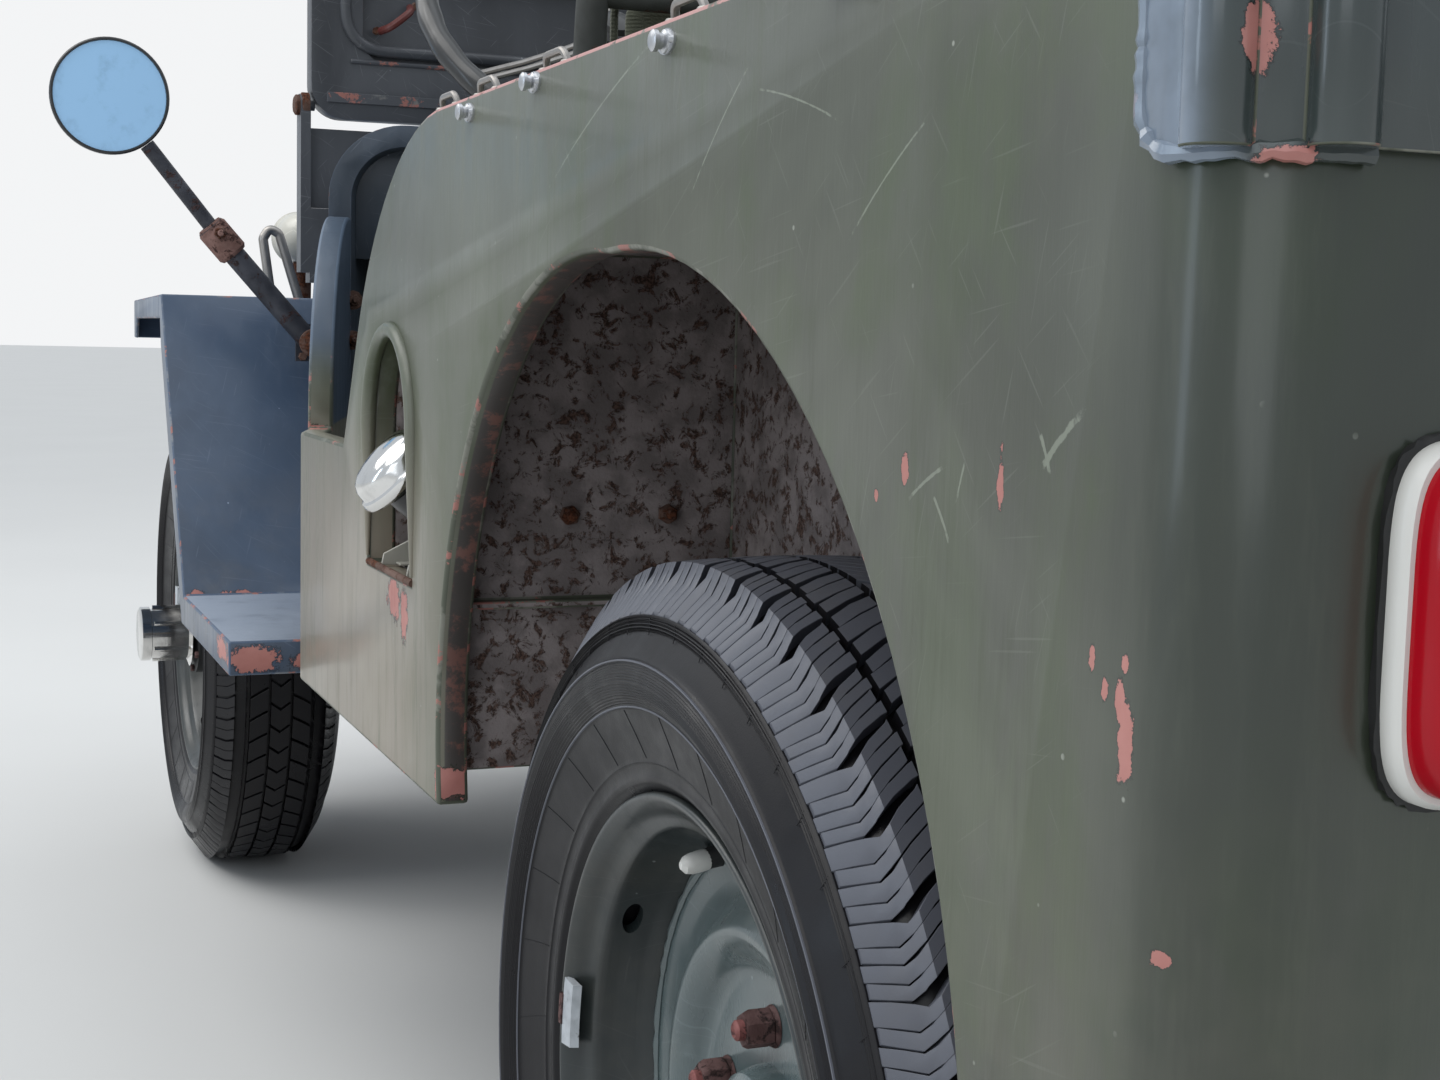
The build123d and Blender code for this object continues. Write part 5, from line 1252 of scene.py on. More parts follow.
def coat(finish, *nodes):
    """Gives carried-over solids their finish."""
    for node in nodes:
        source = frame["nodes"][node]
        if not source.material_slots:
            source.data.materials.append(None)
        for slot in source.material_slots:
            slot.material = Finishes.get(finish)


# Pressed panels: node, finish, finish of the edges, width of their rounding
PANELS = (
    ("side_left", "side", "edge", 6.0), ("side_right", "side_right", "edge", 6.0),
    ("rear_panel", "rear_panel", "edge", 4.0), ("cowl", "cowl", "edge_cool", 6.0),
    ("fender_left", "fender", "edge_cool", 2.2), ("fender_right", "fender", "edge_cool", 2.2),
    ("hood", "fender", "edge_cool", 2.0), ("grille", "fender", "edge_cool", 3.0),
    ("firewall", "cowl", "edge_cool", 1.5), ("dash", "cowl", "edge_cool", 1.5),
    ("tub_floor", "panel", "edge", 1.5), ("wheelhouses", "wheelhouse", "edge", 1.6),
    ("corner_pockets", "corner", "edge", 1.8), ("filler_pocket", "wheelhouse", "edge", 1.5),
    ("front_bumper", "fender", "edge_cool", 2.0),
)


def build_panels():
    """Every pressed panel and rail, with rounded and worn edges."""
    for node, finish, edge, width in PANELS:
        dress_panel(node, finish, edge, width)
    corner = Shape()
    for side in (1, -1):
        arc = [(POCKET_ROUND * (1 - math.sin(a)), POCKET_ROUND * (1 - math.cos(a)))
               for a in [math.radians(9 * k) for k in range(11)]]
        outline = [(POCKET_ROUND, -3), *arc, (-3, POCKET_ROUND), (-3, -3)]
        place = at(side * (SIDE_X + (0.4 if side > 0 else 12)), *POCKET_CORNER)
        corner.prism(outline, place, AFT, UP, 11.6)
    cut_by(bpy.data.objects["corner_pockets_dressed"], corner)
    dress_panel("windshield_frame", "shield", "edge_dark", 7.0, 3)
    for node in ("frame_rails", "frame_crossmembers", "body_mounts"):
        dress_panel(node, "chassis", "rusty", 1.6, 1)


# Turn-button studs of a side: y, z
STUDS = ((-331, 949), (-179, 953), (50, 949), (250, 949), (430, 949))
STUD_PROFILE = ((0, 0), (0, 6.5), (2.5, 6), (3.5, 4.2), (5.5, 4.2), (6.2, 5.6), (8.4, 5.6),
                (9.4, 4.2), (9.8, 0))
LOOPS_Y = (-414, -311, -160, 60, 300)
SCREW_PROFILE = ((0, 0), (0, 5), (2.2, 4), (2.8, 0))


def build_side_trim():
    """Turn-button studs and footman loops of both sides."""
    for side, name in SIDES:
        studs = Shape()
        out = (side, 0, 0)
        for y, z in STUDS:
            studs.prism(oval(12, 6.5, 20), at(side * (SIDE_X - 0.5), y, z), (0, side, 0), UP, 1.8)
            studs.plug(STUD_PROFILE, at(side * SIDE_X, y, z), out, 16)
            for end in (-9.5, 9.5):
                studs.plug([(0, 0), (0, 2.2), (2.4, 1.6), (2.8, 0)],
                           at(side * SIDE_X + side, y + end, z), out, 10)
        studs.piece(f"{name}_turn_buttons", "chassis", "cap_metal", ("zinc",))
        loops = Shape()
        for y in LOOPS_Y:
            x = side * (SIDE_X - 9)
            path = rounded([at(x, y - 22, 958), at(x + side * 3, y - 18, 969),
                            at(x + side * 3, y + 18, 969), at(x, y + 22, 958)], 0.006, 4)
            loops.tube(path, 2.4, 10)
            for end in (-22, 22):
                loops.plug([(0, 0), (0, 6.5), (1.6, 5.5), (1.6, 0)], at(x, y + end, 960.6), UP, 14)
        loops.piece(f"{name}_footman_loops", "chassis", "cap_metal", ("steel",))


# Middle height and half width of the arch over the filler's recess
RECESS_Z, RECESS_HALF = 722, 79
NECK_PROFILE = ((-14, 0), (-14, 27), (-6, 27), (-4, 24), (60, 24), (63, 27), (72, 27), (72, 0))
CAP_PROFILE = ((65, 0), (65, 37), (67, 39.5), (70.5, 40.5), (74, 39.5), (75.5, 37.2), (77, 36.6),
               (84, 35.5), (89, 32), (92.5, 26), (94.5, 17), (95.5, 8), (95.7, 0))
GUSSET = ((0, 0), (52, 0), (50, 10), (26, 22), (6, 52), (0, 54))


def build_filler():
    """Domed cap on its neck, the recess's rim and its gussets."""
    tilt = math.radians(42)
    base = at(663, FILLER_Y, 640)
    out = Vector((math.cos(tilt), 0, math.sin(tilt)))
    neck = Shape()
    neck.plug(NECK_PROFILE, base, out, 40)
    neck.piece("filler_neck_tube", "chassis", "chassis_paint", ("black",), ("filler_neck",))
    cap = Shape()
    cap.plug(CAP_PROFILE, base, out, 64)
    place = turned(base, out)
    for turn in range(2):
        angle = math.pi * turn + 0.6
        ear = [place @ (Vector((math.cos(angle) * r, math.sin(angle) * r, a)) / 1000)
               for r, a in ((36, 70), (43, 70.5), (45, 73))]
        cap.tube(ear, [4.5, 4.5, 2.5], 10)
    cap.piece("filler_cap", "chassis", "cap_metal", ("chrome",))
    rim = Shape()
    path = [at(SIDE_X, FILLER_Y - RECESS_HALF, 612), at(SIDE_X, FILLER_Y - RECESS_HALF, RECESS_Z)]
    for step in range(1, 24):
        angle = math.pi - math.pi * step / 24
        path.append(at(SIDE_X, FILLER_Y + RECESS_HALF * math.cos(angle),
                       RECESS_Z + RECESS_HALF * math.sin(angle)))
    path += [at(SIDE_X, FILLER_Y + RECESS_HALF, RECESS_Z), at(SIDE_X, FILLER_Y + RECESS_HALF, 612)]
    rim.tube(path, [1.5] + [6.5] * (len(path) - 2) + [1.5], 14)
    rim.tube([at(SIDE_X - 1, FILLER_Y - 78, 607), at(SIDE_X - 1, FILLER_Y + 78, 607)], 3.0, 10, 1)
    rim.piece("filler_rim", "chassis", "body_paint", ("side", "rusty"))
    plates = Shape()
    for end in (-1, 1):
        y = FILLER_Y + end * 44
        plates.prism(GUSSET, at(668, y, 607), LEFT, UP, 2.5)
        plates.prism([(0, 0), (40, 0), (40, 16), (0, 16)], at(668, y, 608), LEFT, AFT, 2.0)
    plates.piece("filler_gussets", "chassis", "body_paint", ("cream",), bevel=0.8)


# The rear corner's bend: middle of its arc, radius of the weld round it, place of the upright weld
BEND_X, BEND_Y, WELD_BEND, WELD_Y = SIDE_X - 45, 480, 48.5, 478.5
# Rings of a tail lamp: half width, half height, place outward, raggedness
LAMP_POINTS, LAMP_SQUARE = 72, 0.42
LAMP_GASKET = ((43.0, 58.0, 0, 0.03), (43.2, 58.2, 3, 0.04), (41, 56, 4))
LAMP_RIM = ((42, 57, 2.5), (42.6, 57.6, 4), (42.6, 57.6, 9), (41, 56, 11.5), (38.5, 53.5, 11.5),
            (38.5, 53.5, 8))
LAMP_LENS = ((39.2, 54.2, 8), (39.2, 54.2, 15), (38.5, 53.5, 22), (35.5, 50.5, 27), (26, 40, 30),
             (12, 18, 31), (0.4, 0.4, 31.2))


def build_rear_corner():
    """Weld beads under the corner pockets and the two tail lamps."""
    welds = Shape()
    lumps = random.Random(5)
    for side in (1, -1):
        points = [at(side * (SIDE_X + 3.5), WELD_Y, 960 - 2.2 * step) for step in range(37)]
        for step in range(1, 8):
            bend = math.radians(step * 90 / 8)
            y = WELD_Y + POCKET_ROUND * (1 - math.cos(bend))
            x = BEND_X + WELD_BEND * math.cos(math.asin(max(y - BEND_Y, 0) / WELD_BEND))
            points.append(at(side * x, y, 878 - (POCKET_ROUND + 1) * math.sin(bend)))
        for degrees in range(20, 90, 4):
            a = math.radians(degrees)
            points.append(at(side * (BEND_X + 48 * math.cos(a)), BEND_Y + 48 * math.sin(a),
                             860.5 + lumps.random()))
        welds.tube(points, [2.6 + lumps.random() * 1.4 for _ in points], 8)
    welds.piece("pocket_welds", "chassis", "body_paint", ("corner",))
    for side, name in SIDES:
        lamp = Shape()
        centre = at(side * LAMP_X, 525, LAMP_Z)

        def ring(half_x, half_z, out, rag=0.0):
            row = []
            for k in range(LAMP_POINTS):
                a = math.tau * k / LAMP_POINTS
                c, s = math.cos(a), math.sin(a)
                swing = 1 + rag * lumps.random()
                x = math.copysign(abs(c) ** LAMP_SQUARE, c) * half_x * swing
                z = math.copysign(abs(s) ** LAMP_SQUARE, s) * half_z * swing
                row.append(centre + Vector((x, out, z)) / 1000)
            return row

        for finish, rows in ((2, LAMP_GASKET), (1, LAMP_RIM), (0, LAMP_LENS)):
            made = [ring(*row) for row in rows]
            lamp.grid(made, finish, round_columns=True)
            if finish == 2:
                lamp.add(made[0], [tuple(range(LAMP_POINTS))], finish)
        for level in (-36, -18, 0, 18, 36):
            bar = [centre + Vector((u, v, level)) / 1000
                   for u, v in ((-30, 28.4), (0, 31), (30, 28.4))]
            lamp.tube(bar, 1.1, 6, 0)
        lamp.piece(f"tail_lamp_{name}", "chassis", "red_lens", ("red", "white", "seal"),
                   ("tail_lamps",) if side > 0 else (), sharp=50)


MIRROR_Y = -1480
MIRROR_SHELL = ((-24, 0), (-24, 16), (-21, 36), (-14, 54), (-4, 65.5), (3, 68), (9, 68),
                (10.5, 66.5), (10.5, 64.5), (7.5, 64), (7.5, 0))


def build_mirrors():
    """Round mirrors, their collars and the ball ends."""
    for side, name in SIDES:
        head = Shape()
        centre = at(side * 854, MIRROR_Y, 1065)
        head.plug(MIRROR_SHELL, centre, AFT, 72)
        head.plug([(7, 0), (7, 64), (8.3, 64), (8.7, 40), (8.9, 0)], centre, AFT, 72, 1)
        head.piece(f"mirror_{name}", "chassis", "mirror", ("black", "mirror"),
                   ("mirror_heads",) if side > 0 else (), sharp=40)
        fittings = Shape()
        low, elbow = at(side * 617, MIRROR_Y, 781), at(side * 729, MIRROR_Y, 908)
        along = (elbow - low).normalized()
        fittings.tube([elbow - along * 0.030, elbow - along * 0.026, elbow + along * 0.010,
                       elbow + along * 0.016], [16, 19, 19, 15], 20, 0)
        fittings.nut(elbow + Vector((0, 0.017, 0.002)), AFT, 15, 8, 1, 0.3, 4)
        fittings.plug([(0, 0), (0, 17), (7, 17), (9, 14), (9, 0)], at(side * 617, -1463, 781), AFT,
                      24, 1)
        fittings.nut(at(side * 617, -1454, 781), AFT, 16, 9, 1, 0.2, 4.5)
        for level in (764, 798):
            fittings.nut(at(side * 626, -1484, level), AFT, 11, 6, 1, 0.1)
        fittings.piece(f"mirror_fittings_{name}", "chassis", "steel", ("orange_rust", "rusty"))


# Each half of the glass: middle, half width, lower and upper edge, its two faces
GLASS_X, GLASS_HALF, GLASS_LOW, GLASS_HIGH = 309, 288, 1236, 1557
GLASS_FACES = (-1385.5, -1394.5)
APRON_BEND = 85.6


def build_windshield():
    """Beads, seam, handle and clamps of the folding windshield, and the cowl's bolts."""
    beads = Shape()
    y = SHIELD_REAR_Y
    path = [at(597, y, 1560), at(597, y, 1127), at(-597, y, 1127), at(-597, y, 1560)]
    beads.tube(rounded(path, 0.05, 8), 7, 12)
    beads.tube([at(-590, y, 1113), at(590, y, 1113)], 3.0, 10, 1)
    beads.block((-618, y - 1, 1064), (618, y + 2.2, 1076), 1)
    beads.piece("windshield_beads", "windshield_body", "body_paint", ("shield", "edge_dark"),
                bevel=0.8)
    trim = Shape()
    for side in (1, -1):
        handle = rounded([at(side * 556, y + 1, 1150), at(side * 548, y + 26, 1152),
                          at(side * 524, y + 26, 1172), at(side * 520, y + 1, 1180)], 0.012, 4)
        trim.tube(handle, 4.6, 10, 0)
        for x, z, turn in ((560, 1150, 0.4), (514, 1182, 0.1)):
            trim.nut(at(side * x, y, z), AFT, 10, 5, 1, turn)
        for level in (1300, 1420, 1540):
            trim.plug([(0, 0), (0, 6), (2.5, 5), (3.4, 0)], at(side * 622, y, level), AFT, 14, 1)
        knob = at(side * 640, -1390, 1060)
        trim.plug([(-3, 0), (-3, 15), (5, 15), (7, 12), (12, 12), (14, 9), (14, 0)], knob,
                  (side, 0, 0), 24, 1)
    trim.block((-14, y - 26, 1580), (14, y + 4, 1606), 1)
    trim.piece("windshield_fittings", "windshield_body", "steel", ("handle", "rusty"), bevel=0.6)
    gasket = Shape()
    for side in (1, -1):
        near, far = side * GLASS_X - GLASS_HALF, side * GLASS_X + GLASS_HALF
        for depth in GLASS_FACES:
            corners = [at(x, depth, z) for x, z in ((near, GLASS_LOW), (far, GLASS_LOW),
                                                    (far, GLASS_HIGH), (near, GLASS_HIGH))]
            gasket.tube(rounded(corners, 0.024, 6, True), 6, 10, 0, True)
    gasket.piece("glass_gaskets", "windshield_body", "wheel_rim_plastic", ("seal",))
    apron = Shape()
    for side in (1, -1):
        bend = [(507.7 + APRON_BEND * math.sin(a), 945 + APRON_BEND * math.cos(a))
                for a in [math.radians(9 * k) for k in range(11)]]
        outline = [(635.6, 1034), (504, 1034), *bend, (593.3, 941), (635.6, 941)]
        apron.prism([(side * x, z) for x, z in outline], at(0, -1390, 0), LEFT, UP, 3.0)
    apron.piece("windshield_aprons", "chassis", "body_paint", ("shield",))
    bolts = Shape()
    for side in (1, -1):
        for x, z in ((612, 832), (612, 787)):
            bolts.plug([(0, 0), (0, 11), (1.6, 10.5), (1.6, 0)], at(side * x, -1250, z), AFT, 20)
            bolts.nut(at(side * x, -1248.6, z), AFT, 14, 7, 0, 0.3, 3.4)
        for z in (500, 600, 700):
            bolts.plug([(0, 0), (0, 6), (2.4, 5), (3.2, 0)], at(side * 622, -1250, z), AFT, 14)
        for x, turn in ((619, 0.2), (540, 0.5)):
            bolts.nut(at(side * x, -425, 665), AFT, 15, 8, 0, turn, 4)
    bolts.piece("panel_bolts", "chassis", "steel", ("rusty",))


HEADLAMP_X = 286
LAMP_BUCKET = ((-44, 0), (-44, 50), (-30, 76), (-6, 86), (2, 88), (10, 87.5), (12, 85), (12, 80),
               (8, 79), (8, 76), (-26, 40), (-30, 0))
FENDER_LAMP_SHELL = ((-72, 0), (-70, 14), (-62, 27), (-48, 37), (-30, 41.5), (0, 42), (30, 42),
                     (34, 44), (40, 44), (42, 42), (42, 39), (36, 38), (36, 0))


def build_lamps():
    """Headlamps behind the grille, the lamp on the left fender and its guard."""
    for side, name in SIDES:
        lamp = Shape()
        place = at(side * HEADLAMP_X, -2480, 815)
        lamp.plug(LAMP_BUCKET, place, AHEAD, 64)
        lamp.plug([(7, 76.5), (12, 74), (17, 50), (19, 25), (19.5, 0), (17.5, 0), (17, 25),
                   (15, 50), (10, 73), (7, 74)], place, AHEAD, 64, 1)
        lamp.plug([(-12, 0), (-12, 8), (6, 10), (10, 7), (11, 0)], place, AHEAD, 20, 2)
        x = side * HEADLAMP_X
        lamp.block((x - 20, -2479, 540), (x + 20, -2450, 735), 3)
        lamp.piece(f"headlamp_{name}", "chassis", "headlamp", ("chrome", "lens", "white", "fender"),
                   ("headlamps",) if side > 0 else (), sharp=40)
    lamp = Shape()
    place = at(474, -2320, 945)
    lamp.plug(FENDER_LAMP_SHELL, place, AHEAD, 56)
    lamp.plug([(36, 0), (36, 38), (43, 36), (46, 22), (47, 0)], place, AHEAD, 48, 1)
    lamp.lathe([(-108, 14), (-100, 14), (-50, 12.5), (-40, 15), (-36, 15)], place, UP, 24, 2)
    lamp.plug([(-108, 0), (-108, 33), (-105, 33), (-101, 27), (-99, 14), (-99, 0)], place, UP, 32,
              2)
    lamp.piece("fender_lamp_shell", "chassis", "cream_paint", ("cream", "amber", "rusty"),
               ("fender_lamp",), sharp=40)
    coat("steel", "lamp_guard")


# The hood's rear edge and length, and its half widths at the rear and the front
HOOD_REAR, HOOD_LENGTH, HOOD_REAR_HALF, HOOD_FRONT_HALF = -1536, 938, 528, 385


def build_hood_fittings():
    """Hood catches, rests for the folded windshield and the hinge leaves' bolts."""
    catches = Shape()
    for side in (1, -1):
        for y in (-1660, -2350):
            taper = (HOOD_REAR - y) / HOOD_LENGTH
            x = side * (HOOD_REAR_HALF - (HOOD_REAR_HALF - HOOD_FRONT_HALF) * taper + 2)
            catches.block((x - 4, y - 14, 862), (x + 6 * side, y + 14, 930), 0)
            catches.tube([at(x + 7 * side, y, 872), at(x + 15 * side, y, 885),
                          at(x + 14 * side, y, 915), at(x + 6 * side, y, 925)], 4, 10, 1)
    catches.piece("hood_catches", "hood_body", "steel", ("fender", "steel"), bevel=1.0)
    rests = Shape()
    for side in (1, -1):
        rests.block((side * 250 - 35, -1960, 1004), (side * 250 + 35, -1925, 1016), 0)
        rests.block((side * 250 - 30, -1956, 1014), (side * 250 + 30, -1929, 1028), 1)
    rests.piece("windshield_rests", "hood_body", "body_paint", ("fender", "seal"), bevel=1.5)
    for name, body, xs, y in (("cowl_hinge_screws", "chassis", (135, 160, 185), -1505),
                              ("hood_hinge_screws", "hood_body", (215, 250, 285), -1558)):
        screws = Shape()
        for side in (1, -1):
            for x in xs:
                screws.plug(SCREW_PROFILE, at(side * x, y, 1033.5), UP, 12)
        screws.piece(name, body, "steel", ("steel",))


GRIP_POINTS, NEEDLE_TURN = 96, -1.2
HORN_PROFILE = ((-24, 0), (-24, 15), (-16, 22), (-12, 30), (-2, 31), (4, 28), (8, 20), (10, 19),
                (14, 17), (16, 10), (17, 0))
# Dials of the dash: x, z, radius
GAUGES = ((0, 950, 48), (98, 968, 20), (98, 915, 20), (-98, 968, 20), (-98, 915, 20))


def build_controls():
    """Steering wheel and gauges, and the finishes of the column, levers, arms and glass."""
    lean = math.radians(45)
    place = at(360, -1095, 1130)
    out = Vector((0, math.sin(lean), math.cos(lean)))
    wheel = Shape()
    spin = turned(place, out)
    ring = [spin @ (Vector((a, b, 0)) / 1000) for a, b in oval(205, 205, GRIP_POINTS)]
    grips = [12.6 + (0.9 if k % 4 < 2 else 0.0) for k in range(GRIP_POINTS)]
    wheel.tube(ring, grips, 14, 0, True)
    for turn in (90, 210, 330):
        angle = math.radians(turn)
        c, s = math.cos(angle), math.sin(angle)
        for shift in (-5, 5):
            across = Vector((-s, c, 0)) * shift
            spoke = [spin @ ((Vector((c * r, s * r, a)) + across) / 1000)
                     for r, a in ((20, -6), (70, -8), (130, -6), (196, 0))]
            wheel.tube(spoke, 3.2, 8, 1)
    wheel.plug(HORN_PROFILE, place, out, 40)
    wheel.piece("steering_wheel_rim", "steering_wheel_body", "wheel_rim_plastic",
                ("black", "steel"), ("steering_wheel",))
    gauges = Shape()
    for x, z, radius in GAUGES:
        spot = at(x, -1287, z)
        gauges.plug([(-30, 0), (-30, radius - 1), (0, radius - 1), (0, radius + 4),
                     (3, radius + 3.5), (4.5, radius), (2, radius - 3), (-3, radius - 3), (-3, 0)],
                    spot, AFT, 48)
        gauges.plug([(-2.8, 0), (-2.8, radius - 3.2), (-2.4, radius - 3.2), (-2.2, 0)], spot, AFT,
                    32, 1)
        for mark in range(9):
            angle = math.radians(-120 + mark * 30)
            way = Vector((math.sin(angle), 0, math.cos(angle)))
            sunk = spot + Vector((0, -0.0018, 0))
            gauges.tube([sunk + way * (radius - 12) / 1000, sunk + way * (radius - 6) / 1000], 0.6,
                        6, 2)
        needle = Vector((math.sin(NEEDLE_TURN), 0, math.cos(NEEDLE_TURN)))
        sunk = spot + Vector((0, -0.0012, 0))
        gauges.tube([sunk - needle * 0.004, sunk + needle * (radius - 9) / 1000], [1.4, 0.5], 6, 2)
    gauges.piece("dash_gauges", "chassis", "wheel_rim_plastic", ("black", "dial", "white"))
    coat("black", "steering_column", "levers")
    coat("chassis", "seat_frames")
    coat("arm", "mirror_arms")
    coat("window", "windshield_glass")
    coat("shield", "windshield_brackets")


# Middle of a spring, half the width of its clamps and their distance from the axle
SPRING_X, CLAMP_HALF, CLAMP_END = 346, 29, 36


def build_running_gear():
    """Finishes of the axles and drive line, and the springs' clamps and bolts."""
    coat("rusty", "front_springs", "rear_springs", "exhaust", "towing_hitch")
    coat("chassis", "front_axle", "rear_axle", "propshafts", "fuel_tank", "radiator",
         "knuckle_left", "knuckle_right", "tie_rod")
    coat("iron", "engine_block")
    clamps = Shape()
    for axle in (0.0, FRONT_AXLE):
        for side in (1, -1):
            for end in (-CLAMP_END, CLAMP_END):
                y = axle + end
                near, far = side * SPRING_X - CLAMP_HALF, side * SPRING_X + CLAMP_HALF
                for x in (near, far):
                    clamps.tube(rounded([at(x, y, 246), at(x, y, 386)], 0.01), 5, 10)
                clamps.tube(rounded([at(near, y, 384), at(near, y, 392), at(far, y, 392),
                                     at(far, y, 384)], 0.006, 3), 5, 10)
                for x in (near, far):
                    clamps.nut(at(x, y, 253), (0, 0, -1), 17, 10, 0, 0.2)
    clamps.piece("spring_clamps", "chassis", "steel", ("rusty",))


def build_tyres():
    """The four road tyres and the spare."""
    for place, values in WHEELS.items():
        build_tyre(f"road_tyre_{place}", *values, f"tyre_{place}")
    build_tyre("road_tyre_spare", *SPARE, "spare_tyre")


def build_wheels():
    """The four road wheels and the spare's."""
    for place, values in WHEELS.items():
        build_wheel(f"wheel_{place}", *values, f"wheel_{place}")
    build_wheel("wheel_spare", *SPARE, "spare_wheel", True)


# Stage

# Where the lamps of the studio point, and the side that the wide lamp shines from
LAMPS_AIM, SKY_FROM = (0, 0, 0.6), (0.55, 0.10, 1.0)
FLOOR_STEPS = 24


def build_stage():
    """Pale floor, soft lamps, and the camera where the photograph was taken."""
    look = settings().stage
    scene = bpy.context.scene
    ground = Shape()
    line = [look.floor * (2 * i / FLOOR_STEPS - 1) for i in range(FLOOR_STEPS + 1)]
    ground.grid([[Vector((x, y, 0)) for x in line] for y in line])
    floor = placed("studio_floor", mesh_data("studio_floor", ground.mesh))
    make = Finish("studio_floor")
    grey = tuple(look.tone)
    make.give("Base Color", make.blend(make.noise(1.2, 3.0), grey, tone(grey, 0.94)))
    make.set(roughness=0.8, specular_ior_level=0.2)
    make.bump(make.noise(300, 2.0), 0.3, 0.2)
    floor.data.materials.append(make.material)
    sky = bpy.data.lights.new("sky_lamp", "SUN")
    sky.energy = look.sky
    sky.angle = math.radians(50)
    sky.color = (1.0, 0.99, 0.97)
    holder = placed("sky_lamp", sky)
    holder.rotation_euler = (-Vector(SKY_FROM)).to_track_quat("-Z", "Y").to_euler()
    for name, place, size, power, colour in (
            ("key_lamp", (3.4, -2.6, 4.4), (3.2, 3.2), look.key, (1.0, 0.985, 0.96)),
            ("fill_lamp", (4.2, 4.6, 2.6), (3.0, 3.0), look.fill, (0.90, 0.95, 1.0)),
            ("strip_lamp", (5.1, 0.1, 1.7), (0.6, 2.4), look.strip, (0.70, 0.84, 1.0)),
            ("top_lamp", (-1.0, 0.6, 5.2), (4.0, 4.0), look.top, (0.93, 0.97, 1.0)),
            ("far_lamp", (-4.6, -3.2, 3.0), (3.0, 3.0), look.fill * 0.8, (1.0, 0.98, 0.95))):
        lamp = bpy.data.lights.new(name, "AREA")
        lamp.shape = "RECTANGLE"
        lamp.size, lamp.size_y = size
        lamp.energy = power
        lamp.color = colour
        holder = placed(name, lamp)
        holder.location = place
        aim = Vector(LAMPS_AIM) - Vector(place)
        holder.rotation_euler = aim.to_track_quat("-Z", "Y").to_euler()
    world = bpy.data.worlds.new("studio_air")
    scene.world = world
    world.use_nodes = True
    tree = world.node_tree
    air = tree.nodes["Background"]
    air.inputs["Color"].default_value = (0.80, 0.86, 0.93, 1)
    air.inputs["Strength"].default_value = look.air
    seen = tree.nodes.new("ShaderNodeBackground")
    seen.inputs["Color"].default_value = (0.90, 0.91, 0.92, 1)
    seen.inputs["Strength"].default_value = 1.0
    ray = tree.nodes.new("ShaderNodeLightPath")
    swap = tree.nodes.new("ShaderNodeMixShader")
    tree.links.new(ray.outputs["Is Camera Ray"], swap.inputs[0])
    tree.links.new(air.outputs[0], swap.inputs[1])
    tree.links.new(seen.outputs[0], swap.inputs[2])
    tree.links.new(swap.outputs[0], tree.nodes["World Output"].inputs["Surface"])
    forward = Vector((-math.sin(CAMERA_YAW) * math.cos(CAMERA_PITCH),
                      -math.cos(CAMERA_YAW) * math.cos(CAMERA_PITCH), -math.sin(CAMERA_PITCH)))
    level = forward.cross(Vector(UP)).normalized()
    above = level.cross(forward)
    right = level * math.cos(CAMERA_ROLL) + above * math.sin(CAMERA_ROLL)
    up = above * math.cos(CAMERA_ROLL) - level * math.sin(CAMERA_ROLL)
    eye = bpy.data.cameras.new("photo_camera")
    eye.sensor_width = 36
    eye.lens = CAMERA_LENS
    camera = placed("photo_camera", eye)
    camera.matrix_world = Matrix.Translation(at(*CAMERA_PLACE)) @ Matrix(
        (right, up, -forward)).transposed().to_4x4()
    scene.camera = camera
    scene.view_settings.view_transform = "Standard"


# Panel values

COLOUR = {"subtype": "COLOR", "min": 0, "max": 1}


class PaintSettings(bpy.types.PropertyGroup):
    green: FloatVectorProperty(name="Body green", description="Brushed olive of the tub's sides",
                               default=(0.079, 0.087, 0.061), **COLOUR)
    # painted reflection: this slate blue stands in for the sky reflected on the fenders and hood
    fender: FloatVectorProperty(name="Fender",
                                description="Smoother, cooler coat on the fenders and hood",
                                default=(0.064, 0.098, 0.158), **COLOUR)
    shield: FloatVectorProperty(name="Windshield", description="Dark coat on the windshield frame",
                                default=(0.072, 0.077, 0.088), **COLOUR)
    cowl: FloatVectorProperty(name="Cowl", description="Slate coat on the cowl",
                              default=(0.072, 0.092, 0.122), **COLOUR)
    rim: FloatVectorProperty(name="Rims", description="Green coat on the wheels",
                             default=(0.088, 0.120, 0.124), **COLOUR)
    chassis: FloatVectorProperty(name="Chassis", description="Underbody coat under its grime",
                                 default=(0.036, 0.038, 0.034), **COLOUR)
    chalk: FloatProperty(name="Chalk", description="Strength of the pale brush runs", default=0.65,
                         min=0, max=1, subtype="FACTOR")
    wear: FloatProperty(name="Edge wear", description="How far the edges are rubbed bare",
                        default=0.5, min=0, max=1, subtype="FACTOR")


class TyreSettings(bpy.types.PropertyGroup):
    rubber: FloatVectorProperty(name="Rubber", description="Colour of the tyres",
                                default=(0.0075, 0.007, 0.0085), **COLOUR)
    # road dust with painted sky sheen on the shoulder bars
    dust: FloatVectorProperty(name="Tread dust",
                              description="Rubber of the shoulder bars under road dust",
                              default=(0.104, 0.110, 0.132), **COLOUR)
    rear_pitches: IntProperty(name="Rear pitches",
                              description="Repeats of the block tread round a rear tyre",
                              default=52, min=30, max=80)
    front_pitches: IntProperty(name="Front pitches",
                               description="Repeats of the rib tread round a front tyre",
                               default=64, min=30, max=90)
    groove: FloatProperty(name="Tread depth", description="Depth of the tread's grooves",
                          default=0.0082, min=0.004, max=0.012, unit="LENGTH")
    sipe: FloatProperty(name="Sipe", description="Width of the fine cuts between bars",
                        default=0.0011, min=0.0005, max=0.003, unit="LENGTH")


